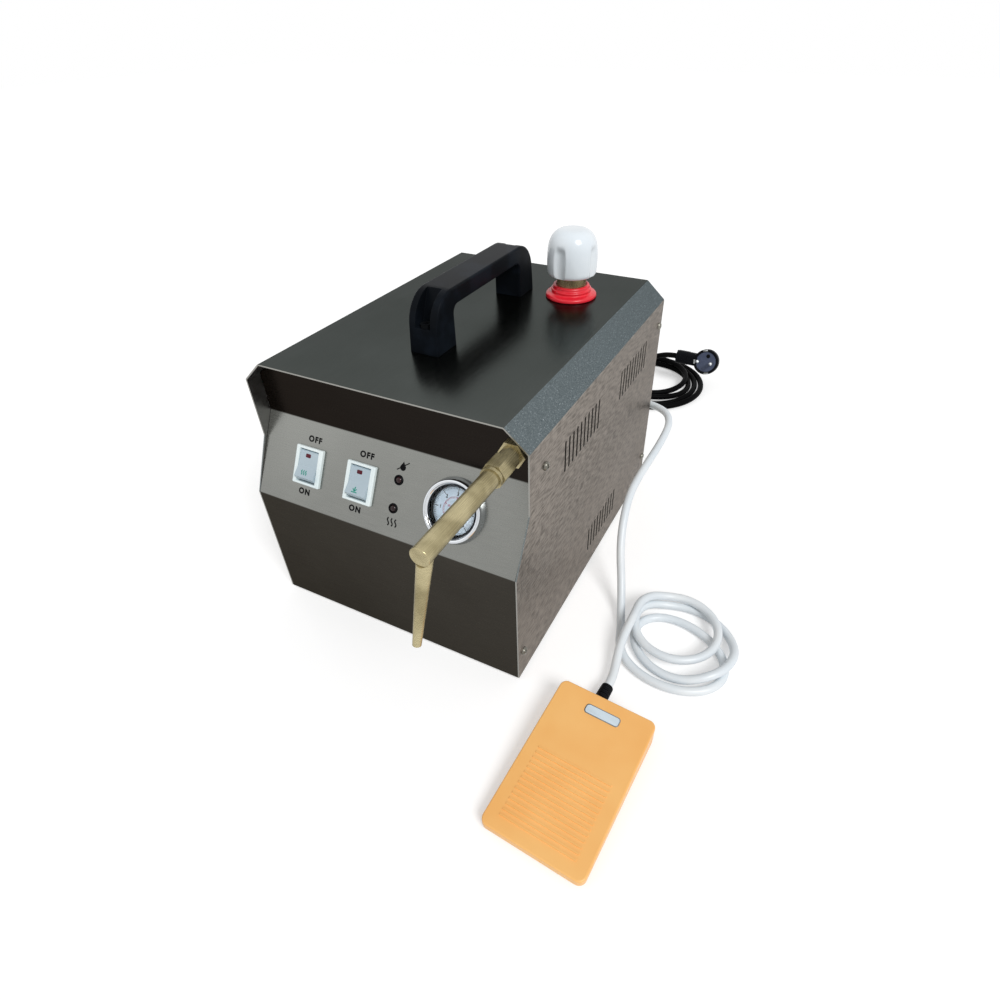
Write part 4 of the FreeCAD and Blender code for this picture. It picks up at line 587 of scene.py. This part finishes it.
def key_marks():
    """A red window and a green sign on each rocker; they turn with it."""
    row, ridge_height = 36.5, 2.6
    for name, across, body in (("power", -77.8, "power_key"), ("heat", -23.4, "heat_key")):
        ridge = console(across, row) @ Matrix.Translation(mm(0, 0, ridge_height))
        upper = ridge @ Matrix.Rotation(math.atan2(-0.6, 12.65), 4, "X")
        lower = ridge @ Matrix.Rotation(math.atan2(-3.37, 9.83), 4, "X")
        slab(f"{name}_window", moved(oblong(5.0, 3.2, 0.5), -0.8, 9.0), 0.0, 0.28, upper, window_red, body,
             0.15)
        sign = [stroke(line, 0.9) for line in waves(5.8, 4.0)] if name == "power" else [
            stroke([(0, 2.2), (0, -1.2)], 1.0), stroke([(-2.0, 0.4), (0, -1.6), (2.0, 0.4)], 0.9),
            stroke([(-2.8, -2.4), (2.8, -2.4)], 0.9)]
        for number, outline in enumerate(sign):
            slab(f"{name}_sign_{number}", moved(outline, -1.2, -6.0), 0.0, 0.07, lower, print_green, body)


def gauge_details():
    """Scale, numbers, dark wall and rolled ring of the pressure gauge."""
    at = console(67.5, 38.5)
    rest, sweep = 135, 270  # degrees: where the scales begin, and how far they run
    marks = bmesh.new()
    inner = bmesh.new()

    def tick(form, angle, start, end, width):
        spin = at @ Matrix.Rotation(math.radians(angle), 4, "Z")
        corners = [form.verts.new(spin @ mm(x, y, 0.06)) for x, y in
                   ((-width / 2, start), (width / 2, start), (width / 2, end), (-width / 2, end))]
        form.faces.new(corners)

    for k in range(61):
        major = k % 10 == 0
        tick(marks, rest - k * sweep / 60, 15.2 if major else 16.8, 18.6, 0.55 if major else 0.25)
    for k in range(41):
        tick(inner, rest - k * sweep / 40, 9.3 if k % 10 else 8.6, 10.6, 0.3 if k % 10 else 0.5)
    for k in range(120):
        for form, radius in ((inner, 10.6), (marks, 18.6)):  # ticks so wide that they join into an arc
            tick(form, rest - k * sweep / 120, radius, radius + 0.25, radius * math.radians(2.4))
    piece_of("gauge_scale", mesh_of("gauge_scale", marks), print_black, "casing")
    piece_of("gauge_inner_scale", mesh_of("gauge_inner_scale", inner), print_red, "casing")
    for k in range(7):
        turn = math.radians(rest - k * sweep / 6 + 90)
        words(f"gauge_number_{k}", str(k), 4.0, at @ Matrix.Translation(
            mm(13.1 * math.cos(turn), 13.1 * math.sin(turn), 0.06)), print_black, "casing", 0.1)
    for k in range(5):
        turn = math.radians(rest - k * sweep / 4 + 90)
        words(f"gauge_inner_number_{k}", str(k * 20), 2.1, at @ Matrix.Translation(
            mm(6.6 * math.cos(turn), 6.6 * math.sin(turn), 0.06)), print_red, "casing", 0.04)
    lathe("gauge_wall", [(19.2, 0.08), (22.4, 0.08), (22.4, 4.1), (20.0, 4.1), (19.2, 3.2)], at, dark_plastic, "casing",
          closed=True)
    ring = eased([(24.7, 0.02), (26.2, 0.02), (26.6, 0.5), (26.3, 1.6), (25.9, 3.2), (25.6, 5.0), (25.1, 6.6),
                  (24.3, 7.7), (23.2, 7.98), (22.3, 7.5), (21.6, 6.6), (20.9, 5.95), (20.2, 5.6)], 5)
    bezel = lathe("gauge_ring", ring + [(20.2, 5.45), (24.65, 5.45)], at, chrome, "casing",
                  steps=128, closed=True, angle=50)
    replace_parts(bezel, "gauge_bezel")
    # The lip's near-black chrome is a painted dark reflection on the bezel's inner step.
    lathe("gauge_lip", eased([(20.2, 5.5), (20.25, 6.0), (20.6, 6.25), (20.95, 6.05), (21.2, 6.2)], 4), at,
          chrome_painted_dark, "casing", steps=128)
    lathe("gauge_hub", eased([(3.2, 2.0), (3.1, 2.6), (2.2, 3.0), (0.0, 3.1)], 3), at, dark_plastic, "pointer",
          steps=32)


mark_words()
lamp_signs()
lamp_rings()
key_marks()
gauge_details()


# ---------------------------------------------------------------- screws

def pan_head(side, y, z):
    """A pan head with a cross recess, its middle on the cover's side."""
    spin = Matrix.Rotation(math.radians(y + 2 * z), 4, "Z")
    at = Matrix.Translation(mm(side * COVER_HALF, y, z)) @ Matrix.Rotation(side * math.pi / 2, 4, "Y") @ spin
    head_radius, crown = 3.7, 2.35
    recess_arm, recess_half, recess_depth = 2.2, 0.55, 1.3
    form = bmesh.new()
    rings, spokes = 16, 48
    rows = []
    for ring in range(rings + 1):
        radius = head_radius * ring / rings
        row = []
        for k in range(spokes if ring else 1):
            turn = math.tau * k / spokes
            x, across = radius * math.cos(turn), radius * math.sin(turn)
            height = crown * (1 - (radius / head_radius) ** 4) ** 0.5 if radius < head_radius else 0.0
            arm, off = max(abs(x), abs(across)), min(abs(x), abs(across))
            if arm < recess_arm and off < recess_half:
                height -= recess_depth * min(1, (recess_arm - arm) / 0.5) * min(1, (recess_half - off) / 0.15)
            row.append(form.verts.new(at @ mm(x, across, max(height, 0.0))))
        rows.append(row)
    for low, high in zip(rows, rows[1:]):
        for k in range(spokes):
            after = (k + 1) % spokes
            corners = list(dict.fromkeys([low[k % len(low)], low[after % len(low)], high[after], high[k]]))
            form.faces.new(corners)
    name = f"cover_screw_{'right' if side > 0 else 'left'}_{round(y + 200)}_{round(z)}"
    return piece_of(name, mesh_of(name, form), cover_screw, "casing", 40)


SCREWS = [(-118.75, 199), (-158.75, 31), (160.75, 199), (160.75, 36)]
heads = [pan_head(side, y, z) for side in (1, -1) for y, z in SCREWS]
for head in heads:
    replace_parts(head, "cover_screws")


# ---------------------------------------------------------------- plug and foot switch

def plug_shell():
    """A moulded angled plug: round head with a sunk grey face, ribbed block that the cord enters."""
    head = lathe("plug_head", eased([(0.0, -20.0), (10.5, -20.0), (13.6, -19.4), (16.0, -16.6), (17.7, -12.6),
                                     (18.2, -10.6)], 3) + eased([(18.2, -1.2), (17.9, -0.3), (17.1, 0.0),
                                                                 (15.4, 0.0), (14.7, -0.5)], 3)
                 + [(14.6, -1.4), (14.5, -1.4), (0.0, -1.4)], PLUG, black_plug, "casing", steps=72)
    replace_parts(head, "mains_plug")
    lathe("plug_face", [(14.4, -1.35), (14.3, -1.0), (0.0, -1.0)], PLUG, plug_grey, "casing", steps=64)
    # A flat dark disc on the face: painted shade standing in for a hole, which is not modelled.
    lathe("plug_hole_painted_shade", [(2.9, -0.95), (2.8, -0.9), (0.0, -0.9)], PLUG @ Matrix.Translation(mm(1.6, 8.6, 0)),
          dark_plastic, "casing", steps=32)
    for angle in (104, 188, 284):
        at = PLUG @ Matrix.Rotation(math.radians(angle), 4, "Z") @ Matrix.Translation(mm(16.7, 0, 0))
        slab(f"plug_clip_{angle}", oblong(2.4, 6.4, 0.5), -8, 0.9, at, nickel, "casing", 0.35)
    along = PLUG @ Matrix.Translation(mm(0, 0, -10)) @ Matrix.Rotation(math.radians(-90), 4, "Y")
    slab("plug_arm", oblong(18.4, 18.4, 5.5), 13.5, 45.6, along, black_plug, "casing", 1.6)
    for number in range(6):
        start = 27.5 + number * 2.8
        slab(f"plug_rib_{number}", oblong(19.4, 19.4, 5.8), start, start + 1.4, along, black_plug, "casing",
             0.4)


def short_relief():
    """The boot of the foot switch's cord, with shallow rings."""
    at = PEDAL @ Matrix.Translation(mm(-10, 0, 9)) @ Matrix.Rotation(math.radians(-90), 4, "X")
    profile = [(4.05, -6.0), (5.7, -6.0), (5.7, 0.0)]
    for number in range(5):
        start = 1.0 + number * 3.6
        profile += [(5.7 - number * 0.08, start), (5.7 - number * 0.08, start + 2.4), (5.0, start + 2.8),
                    (5.0, start + 3.3)]
    profile += [(5.3, 19.4), (5.1, 21.5), (4.3, 22.0), (4.05, 22.0)]
    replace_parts(lathe("pedal_boot", profile, at, black_plug, "casing", steps=48, closed=True),
                "pedal_relief")


def pedal_badge():
    """A bare plate with a raised rim, let into the treadle near the cord."""
    rear_height, grade, back = 26, 0.109375, 14.75
    at = PEDAL @ Matrix.Translation(mm(1, -back, rear_height - back * grade)) @ Matrix.Rotation(
        math.atan(grade), 4, "X")
    slab("badge_rim", oblong(29.6, 8.4, 2.6), -0.2, 0.35, at, badge_grey, "treadle", 0.2)
    slab("badge_plate", oblong(28.2, 7.0, 2.2), 0.0, 0.5, at, badge_white, "treadle", 0.12)


def spring_coils():
    """The foot switch's coil spring, on a mesh of its own; the real spring shortens as the treadle comes down."""
    source = NODES["pedal_spring"]
    mesh = source.data.copy()
    mesh.transform(source.matrix_world)
    mesh.materials.clear()
    piece = piece_of("spring_coils", mesh, screw_steel, "casing")
    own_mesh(piece)
    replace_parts(piece, "pedal_spring")


plug_grey = moulded("plug_grey", "5b6378", "434a5e", 0.25, 500, 0.1, Specular_IOR_Level=0.2)
badge_grey = metal("badge_grey", "8d9399", "686d73", 0.25)
badge_white = moulded("badge_white", "dbe8f0", "cddde8", 0.22, 900, 0.05)
plug_shell()
short_relief()
pedal_badge()
spring_coils()


# ---------------------------------------------------------------- cords

def cord(name, points, radius, shader):
    """A round cord along a smooth line that runs close to its points, given in millimetres."""
    curve = bpy.data.curves.new(name, "CURVE")
    curve.dimensions = "3D"
    curve.bevel_depth = radius * MM
    curve.bevel_resolution = 6
    curve.resolution_u = 8
    curve.use_fill_caps = True
    spline = curve.splines.new("NURBS")
    spline.points.add(len(points) - 1)
    for spot, (x, y, z) in zip(spline.points, points):
        spot.co = (x * MM, y * MM, z * MM, 1)
    spline.order_u = 3
    spline.use_endpoint_u = True
    curve.materials.append(shader.material)
    piece = bpy.data.objects.new(name, curve)
    bpy.context.scene.collection.objects.link(piece)
    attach(piece, "casing")
    return piece


def between(keys, angle):
    """Values that pass smoothly from one key to the next; each key is (angle, values...)."""
    for (start, *low), (end, *high) in zip(keys, keys[1:]):
        if angle <= end:
            share = max(0, (angle - start) / (end - start))
            share = share * share * (3 - 2 * share)
            return [a + (b - a) * share for a, b in zip(low, high)]
    return list(keys[-1][1:])


def turns(rings, heights, start, end, step):
    """Points of a loose coil: rings give the turns' centre and half axes, heights their level."""
    outward = 1.035  # the spline runs about 2% inside points that are 24 degrees apart
    points, angle = [], start
    while (angle - end) * step < 0:
        x, y, across, deep = between(rings, abs(angle - start))
        lift, = between(heights, abs(angle - start))
        turn = math.radians(angle)
        points.append((x + across * outward * math.cos(turn), y + deep * outward * math.sin(turn), lift))
        angle += step
    return points


CORD_RADIUS = 4.0
MAINS_OUT = [(-50, 168, 50), (-50, 206, 50), (-47, 246, 43), (-39, 286, 29), (-31, 328, 15),
             (-24, 370, 8), (-19, 395, 5)]
MAINS_TURNS = turns(
    rings=[(0, 62, 410, 80, 80), (240, 62, 410, 79.5, 80), (340, 62, 410, 71, 72), (600, 61.5, 410, 70.5, 72),
           (700, 61, 410, 62, 63), (960, 61, 410, 62, 63), (1060, 61, 410, 65, 66), (1150, 61, 410, 65, 66),
           (1285, 61, 410, 53, 54.5), (1500, 61, 410, 44, 40)],
    heights=[(0, 4.3), (885, 4.3), (975, 12.4), (1400, 12.5), (1500, 19)],
    start=172, end=-1322, step=-24)
MAINS_IN = [(51, 450, 23), (63, 450, 29), (74, 446.3, 34.5), (84, 440.6, 38.8), (92.5, 436.2, 41.5),
            (98.3, 434.1, 42.5), (104, 433.4, 42.6)]

PEDAL_OUT = [(8, 169, 64), (8, 202, 64), (31, 225, 67), (64, 226, 74), (90, 205, 83), (141, 180, 96),
             (161, 149, 100), (162, 108, 95), (159, 62, 91), (157, 24, 84), (161, -4, 66), (167, -22, 47),
             (175, -36, 27), (182, -52, 12), (187, -66, 5.4), (191.5, -78, 4.3)]
PEDAL_TURNS = turns(
    rings=[(0, 245, -86, 49, 36), (180, 246, -87, 43, 33), (400, 249, -70, 44, 40), (620, 246, -68, 46, 42),
           (735, 238, -60, 37, 37), (1060, 238, -60, 38, 37)],
    heights=[(0, 4.3), (440, 4.3), (490, 12.4), (520, 12.4), (570, 4.3), (650, 4.3), (690, 12.4),
             (1005, 12.4), (1050, 20.6), (1060, 20.6)],
    start=190, end=1250, step=24)
PEDAL_IN = [(200, -66, 20.6), (199.6, -79, 20.4), (199, -92, 18), (199.4, -106, 13.8), (201.3, -119, 10.4),
            (203.2, -130, 9), (203.95, -140.6, 9), (202.44, -160.3, 9)]

mains_cord = cord("mains_lead", MAINS_OUT + MAINS_TURNS + MAINS_IN, CORD_RADIUS, black_cord)
pedal_cord = cord("pedal_lead", PEDAL_OUT + PEDAL_TURNS + PEDAL_IN, CORD_RADIUS, white_cord)
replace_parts(mains_cord, "mains_cord", "mains_cord_coil")
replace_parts(pedal_cord, "pedal_cord", "pedal_cord_coil")


# ---------------------------------------------------------------- stage, light and camera

def seen_as(tree, plain, bright):
    """One shader for the light that falls on things, another for the camera, gloss and glass."""
    path = tree.nodes.new("ShaderNodeLightPath")
    first = tree.nodes.new("ShaderNodeMath")
    second = tree.nodes.new("ShaderNodeMath")
    for node in (first, second):
        node.operation = "MAXIMUM"
    tree.links.new(path.outputs["Is Camera Ray"], first.inputs[0])
    tree.links.new(path.outputs["Is Glossy Ray"], first.inputs[1])
    tree.links.new(first.outputs[0], second.inputs[0])
    tree.links.new(path.outputs["Is Transmission Ray"], second.inputs[1])
    mix = tree.nodes.new("ShaderNodeMixShader")
    tree.links.new(second.outputs[0], mix.inputs["Fac"])
    tree.links.new(plain, mix.inputs[1])
    tree.links.new(bright, mix.inputs[2])
    return mix.outputs[0]


def backdrop():
    """A pale floor that shows white to the camera and keeps the object's shadow."""
    mesh = bpy.data.meshes.new("floor")
    size = 6.0
    mesh.from_pydata([(-size, -size, 0), (size, -size, 0), (size, size, 0), (-size, size, 0)], [], [(0, 1, 2, 3)])
    floor = bpy.data.objects.new("floor", mesh)
    bpy.context.scene.collection.objects.link(floor)
    s = Shader("floor", (0.8, 0.8, 0.8, 1), 0.9, Specular_IOR_Level=0.0)
    mesh.materials.append(s.material)
    glow = s.node("Emission")
    glow.inputs["Strength"].default_value = 0.36
    both = s.node("AddShader")
    s.link(s.principled.outputs[0], both.inputs[0])
    s.link(glow.outputs[0], both.inputs[1])
    s.link(seen_as(s.tree, s.principled.outputs[0], both.outputs[0]),
           s.tree.nodes["Material Output"].inputs["Surface"])

    world = bpy.data.worlds.new("studio")
    world.use_nodes = True
    tree = world.node_tree
    plain = tree.nodes["Background"]
    plain.inputs["Color"].default_value = (1, 1, 1, 1)
    plain.inputs["Strength"].default_value = 0.42
    bright = tree.nodes.new("ShaderNodeBackground")
    bright.inputs["Color"].default_value = (1, 1, 1, 1)
    bright.inputs["Strength"].default_value = 1.0
    tree.links.new(seen_as(tree, plain.outputs[0], bright.outputs[0]), tree.nodes["World Output"].inputs["Surface"])
    bpy.context.scene.world = world


def sun(name, place, strength, spread):
    """Even, soft light from the direction of a place."""
    light = bpy.data.lights.new(name, "SUN")
    light.energy = strength
    light.angle = math.radians(spread)
    lamp = bpy.data.objects.new(name, light)
    lamp.location = place
    lamp.rotation_euler = (-Vector(place)).to_track_quat("-Z", "Y").to_euler()
    bpy.context.scene.collection.objects.link(lamp)


def camera():
    azimuth, elevation, roll = (math.radians(v) for v in (27.072, 39.676, -0.869))
    back = Vector((math.sin(azimuth) * math.cos(elevation), -math.cos(azimuth) * math.cos(elevation),
                   math.sin(elevation)))
    level = Vector((math.cos(azimuth), math.sin(azimuth), 0))
    upright = back.cross(level)
    right = level * math.cos(roll) + upright * math.sin(roll)
    up = upright * math.cos(roll) - level * math.sin(roll)
    lens = bpy.data.cameras.new("camera")
    lens.sensor_fit = "HORIZONTAL"
    sensor, focal_pixels, frame_pixels = 36, 613.41, 1000
    lens.sensor_width = sensor
    lens.lens = focal_pixels * sensor / frame_pixels
    lens.shift_x, lens.shift_y = -0.0234, 0.0142
    lens.clip_start, lens.clip_end = 0.02, 30
    eye = bpy.data.objects.new("camera", lens)
    eye.matrix_world = Matrix.Translation(mm(281.77, -452.77, 457.65)) @ Matrix(
        (right, up, back)).transposed().to_4x4()
    bpy.context.scene.collection.objects.link(eye)
    bpy.context.scene.camera = eye


backdrop()
sun("key", (1.4, -0.9, 1.7), 1.85, 24)
sun("fill", (-1.4, -0.9, 1.2), 0.3, 60)
camera()
bpy.context.scene.view_settings.view_transform = "Standard"
